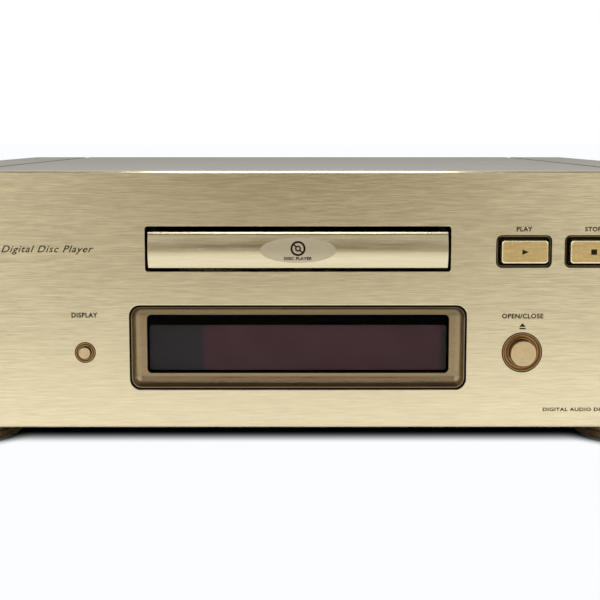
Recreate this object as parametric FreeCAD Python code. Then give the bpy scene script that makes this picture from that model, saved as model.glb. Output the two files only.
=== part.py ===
import FreeCAD, Part

# Full-width hi-fi CD player with a front-loading disc drawer.
# Millimetres. +X is right seen from the front, the front looks along -Y, +Z is up.
# The origin is at the middle of the footprint, on the surface that the feet stand on.
# Every physical piece is one STEP file in parts/, in its own place in the assembly.

import math
import os

from fcgear import fcgear, involute

V = FreeCAD.Vector
X_AXIS = V(1, 0, 0)
Y_AXIS = V(0, 1, 0)
Z_AXIS = V(0, 0, 1)
AXES = {"x": X_AXIS, "y": Y_AXIS, "z": Z_AXIS}

# ---------------------------------------------------------------- driving dimensions

# Overall
overall_width = 434.0
overall_depth = 402.0            # from the proudest control to the end of the rear jacks
panel_height = 121.0
foot_height = 14.0
front_projection = 5.0           # of the proudest control in front of the panel
rear_projection = 11.0           # of the rear jacks behind the rear panel

# General fits
sheet = 1.6                      # steel sheet of the frame, base and rear panel
fit_gap = 0.15                   # all round, between a trim piece and the hole it sits in
run_gap = 0.05                   # radial, between a turning piece and its post
slide_gap = 0.4                  # between a sliding piece and what guides it
board_thickness = 1.6

# Front panel
panel_thickness = 10.0
panel_edge_chamfer = 0.7
panel_corner_radius = 1.2

# Disc, drawer opening and drawer front
disc_diameter = 120.0
small_disc_diameter = 80.0
disc_seat_gap = 0.75             # radial, round a disc in its seat
aperture_side_gap = 3.5          # between the drawer's side and the opening's
aperture_height = 21.2
aperture_corner_radius = 1.3
aperture_below_top = 36.1        # from the panel's top edge to the opening's middle
door_side_gap = 1.4
door_end_gap = 1.95              # above and below the drawer front
door_edge_proud = 2.0            # of the drawer front's upper and lower edges
door_crown = 2.8                 # how far its middle bulges beyond those edges
door_back_depth = 2.0            # its back face, behind the panel's face
door_edge_radius = 0.45
badge_width = 35.4
badge_height = 11.8
badge_inset = 1.6                # how deep the badge is let into the drawer front
badge_proud = 0.1

# Display
display_width = 158.7
display_height = 40.1
display_corner_radius = 5.0
display_edge_chamfer = 0.4
display_below_top = 82.75        # from the panel's top edge to the opening's middle
bezel_inset = 0.3                # of the bezel's rim behind the panel's face
bezel_rim = 0.7
bezel_depth = 8.0                # from the panel's face to the bezel's inner land
bezel_cove_radius = 3.0
window_width = 144.0
window_height = 28.2
window_corner_radius = 2.2
window_rise = 0.5                # of the window's middle above the opening's middle
window_thickness = 2.5
window_overlap = 3.0             # of the window pane behind the bezel's land
filter_drop = 4.2                # from the window's upper edge to the filter's
filter_thickness = 0.4
tube_thickness = 6.5
tube_overlap = 1.0
display_gap = 0.3                # between the window, the filter and the tube
board_behind_tube = 1.0

# Keys: three oblong keys, two large round buttons and three small ones
oblong_hole_width = 25.4
oblong_hole_height = 14.85
oblong_hole_radius = 2.6
oblong_cap_width = 21.6
oblong_cap_height = 10.6
oblong_cap_radius = 1.5
oblong_cap_proud = 3.2
oblong_frame_recess = 1.2        # of the black frame's floor behind the panel's face
oblong_frame_lip = 0.45
oblong_below_top = 37.3
oblong_pitch = 32.0
oblong_first_offset = 26.25      # from the display opening's side to the first key's middle
large_ring_radius = 9.5
large_cap_radius = 5.9
large_cap_proud = front_projection
large_dish_depth = 1.6
small_ring_radius = 4.9
small_cap_radius = 2.6
small_cap_proud = 2.6
small_dish_depth = 1.2
ring_lip = 0.35                  # flat lips on each side of a ring's dish
cap_gap = 0.5                    # round a cap in its frame or ring
cap_edge_radius = 0.4
button_row_below_top = 85.0
display_button_offset = 20.95    # outwards from the display opening's side
end_button_offset = 36.0         # from the panel's end to the power and skip-forward buttons
skip_pitch = 23.0
button_travel = 1.0
cap_flange = 1.0                 # how far a cap's rear flange reaches past the cap's sides
cap_flange_thickness = 1.0
cap_flange_gap = 0.2
cap_pocket_gap = 0.3             # round a cap's flange in its pocket
stem_radius = 2.0

# Tact switches on the front board
switch_side = 6.0
switch_depth = 3.5
plunger_radius = 1.75
plunger_height = 1.5
stem_gap = 0.1

# Covers
side_wall = 3.0
shoulder_radius = 20.0           # of the side covers' rounded upper edges
cover_front_gap = 0.5
seam_offset = 157.0              # from the middle to the raised centre plate's edge
seam_width = 4.0
cover_plate = 2.0
cover_ledge = 17.0               # of the centre cover's lowered edges under the side covers
cover_ledge_gap = 0.1
cover_lip = 18.0                 # height of the lip over the rear panel
pan_flange = 18.0
pan_side_gap = 0.3
vent_length = 30.0
vent_width = 4.0
vent_pitch = 9.0
vents_in_row = 12

# Feet
foot_radius = 30.0
foot_neck_radius = 25.0
foot_neck_height = 2.2
foot_shoulder = 2.0
foot_groove_depth = 0.8
foot_groove_width = 1.2
foot_inset_x = 45.0              # foot centre from the side
foot_inset_front = 50.0          # foot centre from the panel's face
foot_inset_rear = 48.0           # foot centre from the rear panel
pad_radius = 25.0
pad_hole_radius = 9.0
pad_thickness = 2.4
pad_seat = 1.2
foot_screw_radius = 2.5
foot_screw_head_radius = 4.6
foot_screw_head = 3.4
foot_screw_pocket = 6.0
foot_screw_length = 10.5

# Case screws
screw_radius = 1.5
screw_head_radius = 2.9
screw_head = 1.7
screw_length = 7.0
screw_driver_slot = 0.8
screw_driver_depth = 0.9
side_screw_count = 3

# Drawer
tray_height = 9.0
tray_rim_above_middle = 4.1      # tray rim above the opening's middle
tray_side_margin = 7.25          # outside the disc's seat
seat_before_loader = 10.5        # disc seat's front edge, in front of the loader's
tray_length = 196.0
tray_travel = 145.0
disc_seat_depth = 4.5
small_seat_depth = 1.5
slot_half_width = 22.0
finger_notch_radius = 9.0
tray_edge_radius = 0.8
arm_floor = 3.0
arm_wall = 8.0

# Loader
loader_wall = 3.6
loader_front_gap = 1.9           # behind the front board
loader_length = 190.0
loader_wall_drop = 30.0          # of the side walls under the tray
loader_wall_rise = 7.0           # of the side walls above the tray's rim
loader_floor = 3.0
loader_floor_drop = 19.0         # of the floors' upper face under the tray
loader_front_floor = 22.0
loader_rear_floor = 66.0
rail_width = 2.9
rail_thickness = 2.0
rail_gap = 0.3
lip_length = 14.0
post_radius = 1.5

# Drawer drive: rack, gears, belt and motor
module = 1.0
pressure_angle = 20.0
drive_teeth = 30
pinion_teeth = 12
mesh_gap = 0.15                  # added to each centre distance
tooth_play = 0.08                # taken off each rack tooth
rack_height = 4.0
rack_back = 2.2
rack_line_inset = 10.0           # of the rack's pitch line from the tray's side
gear_under_tray = 0.6
drive_gear_height = 11.4
drive_gear_hub = 4.0
pinion_height = 6.0
pulley_radius = 13.0
pulley_height = 5.4
pulley_gap = 0.6
belt_thickness = 1.4
pulley_groove = 1.6
motor_pulley_radius = 4.2
motor_pulley_offset = 36.0       # from the pulley gear's axis
motor_radius = 10.5
motor_length = 25.0
motor_shaft_radius = 1.0
motor_edge_radius = 1.0
belt_gap = 0.05

# Pickup unit
deck_half_width = 33.0
deck_thickness = 2.0
deck_under_tray = 1.4
deck_front_margin = 22.0         # in front of the spindle
deck_flange_wall = 3.0
deck_opening_half_width = 20.0
deck_hinge_offset = 83.25        # of the hinge behind the spindle
deck_hinge_drop = 14.6           # of the hinge under the deck's upper face
trunnion_radius = 2.0
trunnion_reach = 5.0
ear_wall = 3.5
ear_side = 10.0
lift_angle = 6.0
lift_pin_radius = 1.5
lift_pin_drop = 5.1              # of the lift pin's axis under the deck's upper face
cam_thickness = 2.0
cam_travel = 20.0
cam_margin = 7.0
cam_gap = 1.7                    # between the deck's front face and the cam
cam_pin_gap = 0.35
cam_height = 24.0
cam_under_tray = 1.5
guide_wall = 3.0

# Spindle, turntable and clamp
spindle_motor_radius = 14.0
spindle_motor_height = 12.6
spindle_radius = 1.0
turntable_radius = 14.5
turntable_rim = 1.5
turntable_skirt_radius = 10.0
turntable_lift = 0.4             # of the turntable's face above the disc seat
hub_radius = 7.4
hub_height = 1.5
hub_tip_radius = 5.5
hub_tip_height = 1.5
disc_thickness = 1.2
clamp_radius = 15.0
clamp_ring = 3.0
clamp_bore_radius = 8.3
clamp_cap = 1.5
clamp_stem_radius = 6.0
clamp_flange_radius = 12.0
clamp_flange = 1.5
clamp_float = 0.8                # of its flange above the bridge
bridge_width = 34.0
bridge_thickness = 2.0
bridge_hole_radius = 9.0
bridge_rib = 3.0

# Laser sled
sled_travel = 34.0
lens_inner_radius = 24.0         # from the spindle to the lens at the disc's first track
sled_front = 7.0
sled_rear = 14.0
sled_half_width = 28.6
sled_height = 5.1
sled_under_deck = 2.6
sled_tower_half_width = 13.0
sled_tower_below_seat = 3.0
rod_radius = 1.5
rod_offset = 25.0
lens_radius = 3.5
lens_height = 1.0
sled_motor_radius = 5.0
sled_motor_length = 14.0
screw_pitch = 3.0                # advance of the sled for one turn of its leadscrew

# Stand under the loader
stand_plate = 2.0
stand_half_width = 95.0
stand_foot = 14.0
stand_margin = 6.0

# Electronics
transformer_width = 85.0
transformer_length = 70.0
transformer_height = 60.0
coil_width = 55.0
coil_overhang = 10.0
coil_height = 48.0
transformer_foot = 8.0
transformer_gap = 14.0
transformer_clear = 12.0
board_spacer = 8.0
spacer_radius = 3.0
main_board_width = 104.0
main_board_front = 22.0
main_board_rear = 14.0
main_board_side_gap = 8.0
can_radius = 12.5
can_height = 40.0
can_pitch = 32.0
can_count = 4

# Rear connectors
jack_barrel_radius = 4.15
jack_bore_radius = 1.65
jack_bore_depth = 9.0
jack_collar_radius = 6.4
jack_collar = 2.0
jack_body_radius = 5.5
jack_body_length = 12.0
jack_height = 60.0               # above the panel's bottom edge
line_jack_pitch = 20.0
line_jack_x = 150.0
digital_jack_x = 82.0
optical_x = 56.0
optical_width = 13.4
optical_height = 11.0
optical_proud = 7.0
optical_body = 10.0
inlet_inset = 62.0               # inlet's middle from the side
inlet_height = 36.0              # inlet's middle above the panel's bottom edge
inlet_flange_width = 50.0
inlet_flange_height = 28.0
inlet_flange = 3.0
inlet_body_width = 28.4
inlet_body_height = 20.4
inlet_body_length = 17.0
inlet_cavity_width = 24.6
inlet_cavity_height = 16.6
inlet_cavity_depth = 15.5
inlet_screw_pitch = 40.0
blade_width = 2.0
blade_height = 4.0
blade_pitch = 14.0
blade_drop = 2.0
blade_length = 13.0
earth_rise = 4.0

# ---------------------------------------------------------------- planes and places

half_width = overall_width / 2
face_y = -overall_depth / 2 + front_projection
panel_back_y = face_y + panel_thickness
frame_back_y = panel_back_y + sheet
rear_y = overall_depth / 2 - rear_projection
rear_inner_y = rear_y - sheet
bottom_z = foot_height
top_z = foot_height + panel_height
floor_z = bottom_z + sheet
inner_half_width = half_width - side_wall - pan_side_gap
frame_top_z = top_z - side_wall - cover_ledge_gap - sheet - pan_side_gap
frame_corner_radius = shoulder_radius - side_wall

aperture_z = top_z - aperture_below_top
display_z = top_z - display_below_top
window_z = display_z + window_rise
oblong_z = top_z - oblong_below_top
button_row_z = top_z - button_row_below_top
oblong_xs = [display_width / 2 + oblong_first_offset + n * oblong_pitch for n in range(3)]
open_close_x = oblong_xs[0]
display_button_x = -(display_width / 2 + display_button_offset)
power_x = -(half_width - end_button_offset)
skip_forward_x = half_width - end_button_offset
skip_back_x = skip_forward_x - skip_pitch

filter_front_y = panel_back_y + window_thickness + display_gap
tube_front_y = filter_front_y + filter_thickness + display_gap
board_y = tube_front_y + tube_thickness + board_behind_tube
plunger_y = board_y - switch_depth - plunger_height
cap_flange_y = panel_back_y - cap_flange_thickness + cap_flange_gap
stem_end_y = plunger_y - button_travel - stem_gap

disc_seat_radius = disc_diameter / 2 + disc_seat_gap
tray_half_width = disc_seat_radius + tray_side_margin
aperture_width = 2 * (tray_half_width + aperture_side_gap)
tray_front_y = face_y + door_back_depth
tray_rear_y = tray_front_y + tray_length
tray_top_z = aperture_z + tray_rim_above_middle
tray_bottom_z = tray_top_z - tray_height
disc_seat_z = tray_top_z - disc_seat_depth

loader_front_y = board_y + board_thickness + loader_front_gap
disc_y = loader_front_y - seat_before_loader + disc_seat_radius
loader_rear_y = loader_front_y + loader_length
loader_inner = tray_half_width + slide_gap
loader_outer = loader_inner + loader_wall
loader_bottom_z = tray_bottom_z - loader_wall_drop
loader_top_z = tray_top_z + loader_wall_rise
loader_floor_z = tray_bottom_z - loader_floor_drop
front_floor_rear_y = loader_front_y + loader_front_floor
rear_floor_front_y = loader_rear_y - loader_rear_floor

gear_row_y = loader_front_y + motor_radius
drive_radius = module * drive_teeth / 2
pinion_radius = module * pinion_teeth / 2
rack_line_x = -(tray_half_width - rack_line_inset)
drive_x = rack_line_x + drive_radius + mesh_gap
pulley_x = drive_x + drive_radius + pinion_radius + mesh_gap
motor_x = pulley_x + motor_pulley_offset
gear_top_z = tray_bottom_z - gear_under_tray
gear_bottom_z = gear_top_z - drive_gear_height
pulley_top_z = gear_bottom_z - pulley_gap
pulley_bottom_z = pulley_top_z - pulley_height
belt_z = (pulley_top_z + pulley_bottom_z) / 2

deck_top_z = tray_bottom_z - deck_under_tray
deck_bottom_z = deck_top_z - deck_thickness
deck_front_y = disc_y - deck_front_margin
hinge_y = disc_y + deck_hinge_offset
hinge_z = deck_top_z - deck_hinge_drop
deck_rear_y = hinge_y + trunnion_radius
lift_pin_z = deck_top_z - lift_pin_drop
cam_rear_y = deck_front_y - cam_gap
cam_front_y = cam_rear_y - cam_thickness
cam_top_z = tray_bottom_z - cam_under_tray
cam_bottom_z = cam_top_z - cam_height
lift_lever = hinge_y - (cam_front_y + cam_rear_y) / 2
lift_drop = lift_lever * math.sin(math.radians(lift_angle))

turntable_z = disc_seat_z + turntable_lift
clamp_bottom_z = turntable_z + disc_thickness
rod_z = deck_bottom_z - sled_under_deck - sled_height / 2
rod_rear_y = disc_y + deck_hinge_offset - trunnion_radius - ear_wall
lens_y = disc_y + lens_inner_radius

stand_top_z = loader_bottom_z

NODES = {}


# ---------------------------------------------------------------- helpers

def block(x, y, z):
    """A box from three (low, high) pairs."""
    return Part.makeBox(x[1] - x[0], y[1] - y[0], z[1] - z[0], V(x[0], y[0], z[0]))


def rod(axis, centre, radius, low, high):
    """A cylinder along x, y or z. centre holds its other two coordinates, in X, Y, Z order."""
    a, b = centre
    base = {"x": V(low, a, b), "y": V(a, low, b), "z": V(a, b, low)}[axis]
    return Part.makeCylinder(radius, high - low, base, AXES[axis])


def round_along(shape, axis, radius, wanted=lambda edge: True):
    """Rounds the straight edges that run along an axis."""
    edges = []
    for edge in shape.Edges:
        if not isinstance(edge.Curve, (Part.Line, Part.LineSegment)):
            continue
        along = edge.tangentAt(edge.FirstParameter)
        if abs(abs(along.dot(AXES[axis])) - 1) < 1e-6 and wanted(edge):
            edges.append(edge)
    return shape.makeFillet(radius, edges)


def edges_at_y(shape, y):
    """Every edge that lies in the plane at that y."""
    found = []
    for edge in shape.Edges:
        box = edge.BoundBox
        if abs(box.YMin - y) < 1e-6 and abs(box.YMax - y) < 1e-6:
            found.append(edge)
    return found


def plate(x, z, width, height, radius, y_low, y_high):
    """A plate in the plane of the front panel, with rounded corners."""
    body = block((x - width / 2, x + width / 2), (y_low, y_high), (z - height / 2, z + height / 2))
    return round_along(body, "y", radius)


def prism(points, axis, low, high):
    """A polygon of (a, b) points drawn across an axis, pushed from low to high along it."""
    place = {
        "x": lambda a, b: V(low, a, b),
        "y": lambda a, b: V(a, low, b),
        "z": lambda a, b: V(a, b, low),
    }[axis]
    wire = Part.makePolygon([place(*p) for p in points + points[:1]])
    return Part.Face(wire).extrude(AXES[axis] * (high - low))


def lathe(edges, origin, axis):
    """Turns a closed profile about an axis. The profile is drawn in (radius, height) from origin."""
    face = Part.Face(Part.Wire(edges))
    solid = face.revolve(V(0, 0, 0), Z_AXIS, 360)
    if axis == "y":
        solid.rotate(V(0, 0, 0), X_AXIS, -90)
    solid.translate(origin)
    return solid


def line(a, b):
    """A profile's straight edge between two (radius, height) points."""
    return Part.makeLine(V(a[0], 0, a[1]), V(b[0], 0, b[1]))


def arc(a, b, c):
    """A profile's round edge through three (radius, height) points."""
    return Part.Arc(V(a[0], 0, a[1]), V(b[0], 0, b[1]), V(c[0], 0, c[1])).toShape()


def outline(points):
    """Straight profile edges through (radius, height) points, closed."""
    return [line(a, b) for a, b in zip(points, points[1:] + points[:1])]


def gear(teeth, centre, low, high, turn=0.0):
    """A spur gear about a vertical axis, with involute teeth."""
    builder = fcgear.FCWireBuilder()
    involute.CreateExternalGear(builder, module, teeth, pressure_angle, True)
    wire = Part.Wire([curve.toShape() for curve in builder.wire])
    solid = Part.Face(wire).extrude(V(0, 0, high - low))
    solid.rotate(V(0, 0, 0), Z_AXIS, turn)
    solid.translate(V(centre[0], centre[1], low))
    return solid


def fuse(first, *others):
    """One solid from several that meet."""
    return first.multiFuse(list(others)).removeSplitter()


def mirrored(shape):
    """The same piece on the other side."""
    return shape.mirror(V(0, 0, 0), X_AXIS)


def node(name, *solids):
    """Keeps one named piece, of one solid or of several separate ones."""
    NODES[name] = solids[0] if len(solids) == 1 else Part.makeCompound(list(solids))


def case_screw(origin, direction):
    """A slotted pan-head screw: its head's underside is at origin and its shank runs along direction."""
    head = Part.makeCylinder(screw_head_radius, screw_head, origin, direction * -1)
    shank = Part.makeCylinder(screw_radius, screw_length, origin, direction)
    slot = Part.makeBox(2 * screw_head_radius, screw_driver_slot, screw_driver_depth)
    slot.translate(V(-screw_head_radius, -screw_driver_slot / 2, screw_head - screw_driver_depth))
    turn = FreeCAD.Rotation(Z_AXIS, direction * -1)
    slot = slot.transformGeometry(FreeCAD.Placement(origin, turn).toMatrix())
    return fuse(head, shank).cut(slot)


# ---------------------------------------------------------------- holes that pieces share

def oblong_hole(x, low, high, grow=0.0):
    """The hole in the front panel round an oblong key."""
    width = oblong_hole_width + 2 * grow
    height = oblong_hole_height + 2 * grow
    return plate(x, oblong_z, width, height, oblong_hole_radius + grow, low, high)


ROUND_BUTTONS = {
    "open_close": (open_close_x, large_ring_radius),
    "power": (power_x, large_ring_radius),
    "display": (display_button_x, small_ring_radius),
    "skip_back": (skip_back_x, small_ring_radius),
    "skip_forward": (skip_forward_x, small_ring_radius),
}
OBLONG_KEYS = dict(zip(("play", "stop", "pause"), oblong_xs))


def control_holes(low, high, grow=0.0):
    """All the keys' and buttons' holes, as one cutting tool."""
    tools = [oblong_hole(x, low, high, grow) for x in oblong_xs]
    for x, radius in ROUND_BUTTONS.values():
        tools.append(rod("y", (x, button_row_z), radius + grow, low, high))
    return Part.makeCompound(tools)


def drawer_opening(low, high, grow=0.0):
    """The drawer's opening."""
    width = aperture_width + 2 * grow
    height = aperture_height + 2 * grow
    return plate(0, aperture_z, width, height, aperture_corner_radius + grow, low, high)


def rear_screw_places():
    """(x, z) of the screws that hold the rear panel to the base's rear flange, and the cover's lip."""
    step = (inner_half_width - pan_flange) / 2
    low = [(n * step, bottom_z + pan_flange / 2) for n in range(-2, 3)]
    high = [(n * seam_offset * 0.75, top_z - cover_lip / 2) for n in range(-1, 2)]
    return low, high


def side_screw_ys():
    """Places along a side cover's lower edge."""
    span = rear_y - frame_back_y
    return [frame_back_y + span * (n + 0.5) / side_screw_count for n in range(side_screw_count)]


# ---------------------------------------------------------------- case

def front_panel():
    body = block((-half_width, half_width), (face_y, panel_back_y), (bottom_z, top_z))
    body = round_along(body, "y", panel_corner_radius)
    body = body.makeChamfer(panel_edge_chamfer, edges_at_y(body, face_y))
    mouth = plate(0, display_z, display_width, display_height, display_corner_radius, face_y, panel_back_y)
    body = body.cut(mouth)
    rim = [e for e in edges_at_y(body, face_y) if abs(e.CenterOfMass.x) <= display_width / 2 + 1e-3]
    rim = [e for e in rim if abs(e.CenterOfMass.z - display_z) <= display_height / 2 + 1e-3]
    body = body.makeChamfer(display_edge_chamfer, rim)
    body = body.cut(drawer_opening(face_y, panel_back_y))
    return body.cut(control_holes(face_y, panel_back_y))


def shell_plate(y_low, y_high, flange_low, flange_high):
    """A plate across the case, inside the covers' rounded shoulders, with a flange along its top."""
    body = block((-inner_half_width, inner_half_width), (y_low, y_high), (bottom_z, frame_top_z))
    body = round_along(body, "y", frame_corner_radius, lambda edge: edge.CenterOfMass.z > display_z)
    reach = inner_half_width - frame_corner_radius
    flange = block((-reach, reach), (flange_low, flange_high), (frame_top_z - sheet, frame_top_z))
    return fuse(body, flange)


def front_board_outline():
    """The front board's half length, and its lower part's bottom and top edges."""
    reach = half_width - end_button_offset + oblong_cap_height
    low = button_row_z - window_height / 2 - oblong_cap_height
    return reach, low, window_z + window_height / 2 + window_overlap


def inner_front_frame():
    skin = shell_plate(panel_back_y, frame_back_y, frame_back_y, frame_back_y + cover_ledge)
    skin = skin.cut(drawer_opening(panel_back_y, frame_back_y, door_side_gap))
    spread = 2 * (window_overlap + slide_gap)
    pane = plate(
        0, window_z, window_width + spread, window_height + spread, window_corner_radius,
        panel_back_y, frame_back_y,
    )
    skin = skin.cut(pane).cut(control_holes(panel_back_y, frame_back_y, -ring_lip))
    reach, low, top = front_board_outline()
    inset = 2 * spacer_radius
    low = max(low, bottom_z + pan_flange)
    places = [(x, z) for x in (inset - reach, reach - inset) for z in (low + inset, top - inset)]
    return fuse(skin, *[rod("y", place, spacer_radius, panel_back_y, board_y) for place in places])


def foot_places():
    """(x, y) of the feet by name."""
    x = half_width - foot_inset_x
    front = face_y + foot_inset_front
    rear = rear_y - foot_inset_rear
    return {
        "foot_front_left": (-x, front),
        "foot_front_right": (x, front),
        "foot_rear_left": (-x, rear),
        "foot_rear_right": (x, rear),
    }


def base_chassis():
    half = inner_half_width
    high = bottom_z + pan_flange
    outer = block((-half, half), (frame_back_y, rear_inner_y), (bottom_z, high))
    inside_y = (frame_back_y + sheet, rear_inner_y - sheet)
    body = outer.cut(block((-half + sheet, half - sheet), inside_y, (floor_z, high)))
    hole = foot_screw_radius + run_gap
    tools = [rod("z", place, hole, bottom_z, floor_z) for place in foot_places().values()]
    row = (vents_in_row - 1) * vent_pitch / 2
    for x in (-half_width / 2, half_width / 2):
        for n in range(vents_in_row):
            slot = block(
                (x - row + n * vent_pitch - vent_width / 2, x - row + n * vent_pitch + vent_width / 2),
                (-vent_length / 2, vent_length / 2), (bottom_z, floor_z),
            )
            tools.append(round_along(slot, "z", vent_width / 2 - run_gap))
    for x, z in rear_screw_places()[0]:
        tools.append(rod("y", (x, z), screw_radius + run_gap, rear_inner_y - sheet, rear_inner_y))
    for y in side_screw_ys():
        place = (y, bottom_z + pan_flange / 2)
        tools.append(rod("x", place, screw_radius + run_gap, -half, -half + sheet))
        tools.append(rod("x", place, screw_radius + run_gap, half - sheet, half))
    return body.cut(Part.makeCompound(tools))


def jack_places():
    """(x, z) of the phono jacks: left and right line outputs, and the coaxial digital output."""
    z = bottom_z + jack_height
    return [(line_jack_x, z), (line_jack_x - line_jack_pitch, z), (digital_jack_x, z)]


inlet_x = -(half_width - inlet_inset)
inlet_z = bottom_z + inlet_height
optical_z = bottom_z + jack_height


def rear_panel():
    skin = shell_plate(rear_inner_y, rear_y, rear_inner_y - cover_ledge, rear_inner_y)
    through = (rear_inner_y, rear_y)
    tools = [rod("y", place, jack_body_radius + fit_gap, *through) for place in jack_places()]
    wide, high = (size + 2 * fit_gap for size in (inlet_body_width, inlet_body_height))
    tools.append(plate(inlet_x, inlet_z, wide, high, fit_gap, *through))
    wide, high = (size - 2 * ring_lip for size in (optical_width, optical_height))
    tools.append(plate(optical_x, optical_z, wide, high, fit_gap, *through))
    for x, z in sum(rear_screw_places(), []):
        tools.append(rod("y", (x, z), screw_radius + run_gap, rear_inner_y, rear_y))
    for side in (-1, 1):
        place = (inlet_x + side * inlet_screw_pitch / 2, inlet_z)
        tools.append(rod("y", place, screw_radius + run_gap, rear_inner_y, rear_y))
    return skin.cut(Part.makeCompound(tools))


def top_cover():
    front_y = panel_back_y + cover_front_gap
    ledge_top = top_z - side_wall - cover_ledge_gap
    ledge_end = seam_offset + seam_width + cover_ledge
    points = [
        (-seam_offset, top_z), (seam_offset, top_z), (seam_offset, ledge_top), (ledge_end, ledge_top),
        (ledge_end, ledge_top - sheet), (seam_offset - cover_plate, ledge_top - sheet),
        (seam_offset - cover_plate, top_z - cover_plate), (-seam_offset + cover_plate, top_z - cover_plate),
        (-seam_offset + cover_plate, ledge_top - sheet), (-ledge_end, ledge_top - sheet),
        (-ledge_end, ledge_top), (-seam_offset, ledge_top),
    ]
    body = prism(points, "y", front_y, rear_y)
    lip = block((-seam_offset, seam_offset), (rear_y, rear_y + sheet), (top_z - cover_lip, top_z))
    lip = round_along(lip, "y", cover_plate, lambda edge: edge.CenterOfMass.z < top_z - cover_lip / 2)
    body = fuse(body, lip)
    hole = screw_radius + run_gap
    tools = [rod("y", place, hole, rear_y, rear_y + sheet) for place in rear_screw_places()[1]]
    return body.cut(Part.makeCompound(tools))


def side_cover():
    """The right-hand cover: a flat top strip, a rounded shoulder and the side wall."""
    inner_edge = seam_offset + seam_width
    front_y = panel_back_y + cover_front_gap
    section = block((inner_edge, half_width), (front_y, rear_y), (bottom_z, top_z))
    section = round_along(
        section, "y", shoulder_radius,
        lambda edge: edge.CenterOfMass.z > top_z - 1 and edge.CenterOfMass.x > inner_edge + 1,
    )
    inside = (inner_edge - 1, half_width - side_wall)
    hollow = block(inside, (front_y, rear_y), (bottom_z - 1, top_z - side_wall))
    hollow = round_along(
        hollow, "y", shoulder_radius - side_wall,
        lambda edge: edge.CenterOfMass.z > top_z - side_wall - 1 and edge.CenterOfMass.x > inner_edge,
    )
    body = section.cut(hollow)
    tools = []
    for y in side_screw_ys():
        place = (y, bottom_z + pan_flange / 2)
        tools.append(rod("x", place, screw_radius + run_gap, half_width - side_wall, half_width))
        tools.append(rod("x", place, screw_head_radius + fit_gap, half_width - screw_head, half_width))
    return body.cut(Part.makeCompound(tools))


def foot(place):
    """A turned foot with a waist, a groove round its rim and a recess under it for the pad."""
    x, y = place
    low = pad_thickness - pad_seat
    shoulder_z = bottom_z - foot_neck_height
    groove_z = (low + shoulder_z - foot_shoulder) / 2
    profile = outline([
        (foot_screw_radius + run_gap, bottom_z), (foot_neck_radius, bottom_z),
        (foot_neck_radius, shoulder_z), (foot_radius - foot_shoulder, shoulder_z),
        (foot_radius, shoulder_z - foot_shoulder), (foot_radius, groove_z + foot_groove_width / 2),
        (foot_radius - foot_groove_depth, groove_z + foot_groove_width / 2),
        (foot_radius - foot_groove_depth, groove_z - foot_groove_width / 2),
        (foot_radius, groove_z - foot_groove_width / 2), (foot_radius, low + foot_groove_depth),
        (foot_radius - foot_groove_depth, low), (pad_radius + fit_gap, low),
        (pad_radius + fit_gap, pad_thickness), (foot_screw_head_radius + slide_gap, pad_thickness),
        (foot_screw_head_radius + slide_gap, pad_thickness + foot_screw_pocket - foot_screw_head),
        (foot_screw_radius + run_gap, pad_thickness + foot_screw_pocket - foot_screw_head),
    ])
    return lathe(profile, V(x, y, 0), "z")


def foot_pad(place):
    """A felt-faced rubber ring under a foot."""
    hole = rod("z", place, pad_hole_radius, 0, pad_thickness)
    return rod("z", place, pad_radius, 0, pad_thickness).cut(hole)


def foot_screw(place):
    """The screw that holds a foot, with a cross recess in its head."""
    x, y = place
    seat = pad_thickness + foot_screw_pocket - foot_screw_head
    head = rod("z", place, foot_screw_head_radius, seat - foot_screw_head, seat)
    shank = rod("z", place, foot_screw_radius, seat, seat + foot_screw_length)
    recess = screw_driver_slot / 2
    reach = foot_screw_head_radius / 2
    low = seat - foot_screw_head
    across = block((x - reach, x + reach), (y - recess, y + recess), (low, low + screw_driver_depth))
    along = block((x - recess, x + recess), (y - reach, y + reach), (low, low + screw_driver_depth))
    return fuse(head, shank).cut(fuse(across, along))


def case_screws():
    """Rear screws in two rows, the inlet's two screws, and a row on each side cover."""
    low, high = rear_screw_places()
    screws = [case_screw(V(x, rear_y, z), Y_AXIS * -1) for x, z in low]
    screws += [case_screw(V(x, rear_y + sheet, z), Y_AXIS * -1) for x, z in high]
    for side in (-1, 1):
        x = inlet_x + side * inlet_screw_pitch / 2
        screws.append(case_screw(V(x, rear_y + inlet_flange, inlet_z), Y_AXIS * -1))
        for y in side_screw_ys():
            seat = V(side * (half_width - screw_head), y, bottom_z + pan_flange / 2)
            screws.append(case_screw(seat, X_AXIS * -side))
    return screws


def build_case():
    node("front_panel", front_panel())
    node("inner_front_frame", inner_front_frame())
    node("base_chassis", base_chassis())
    node("rear_panel", rear_panel())
    node("top_cover", top_cover())
    right = side_cover()
    node("side_cover_right", right)
    node("side_cover_left", mirrored(right))
    for name, place in foot_places().items():
        node(name, foot(place))
    node("foot_pads", *[foot_pad(place) for place in foot_places().values()])
    node("foot_screws", *[foot_screw(place) for place in foot_places().values()])
    node("case_screws", *case_screws())


# ---------------------------------------------------------------- display and front board

def display_bezel():
    """A deep frame whose walls run into its inner land in a cove."""
    width = display_width - 2 * fit_gap
    height = display_height - 2 * fit_gap
    radius = display_corner_radius - fit_gap
    land_y = face_y + bezel_depth
    body = plate(0, display_z, width, height, radius, face_y + bezel_inset, panel_back_y)
    pocket = plate(
        0, display_z, width - 2 * bezel_rim, height - 2 * bezel_rim, radius - bezel_rim, face_y - 1, land_y,
    )
    pocket = pocket.makeFillet(bezel_cove_radius, edges_at_y(pocket, land_y))
    opening = plate(0, window_z, window_width, window_height, window_corner_radius, face_y, panel_back_y)
    return body.cut(pocket).cut(opening)


def display_window():
    width = window_width + 2 * window_overlap
    height = window_height + 2 * window_overlap
    rear = panel_back_y + window_thickness
    return plate(0, window_z, width, height, window_corner_radius, panel_back_y, rear)


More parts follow.
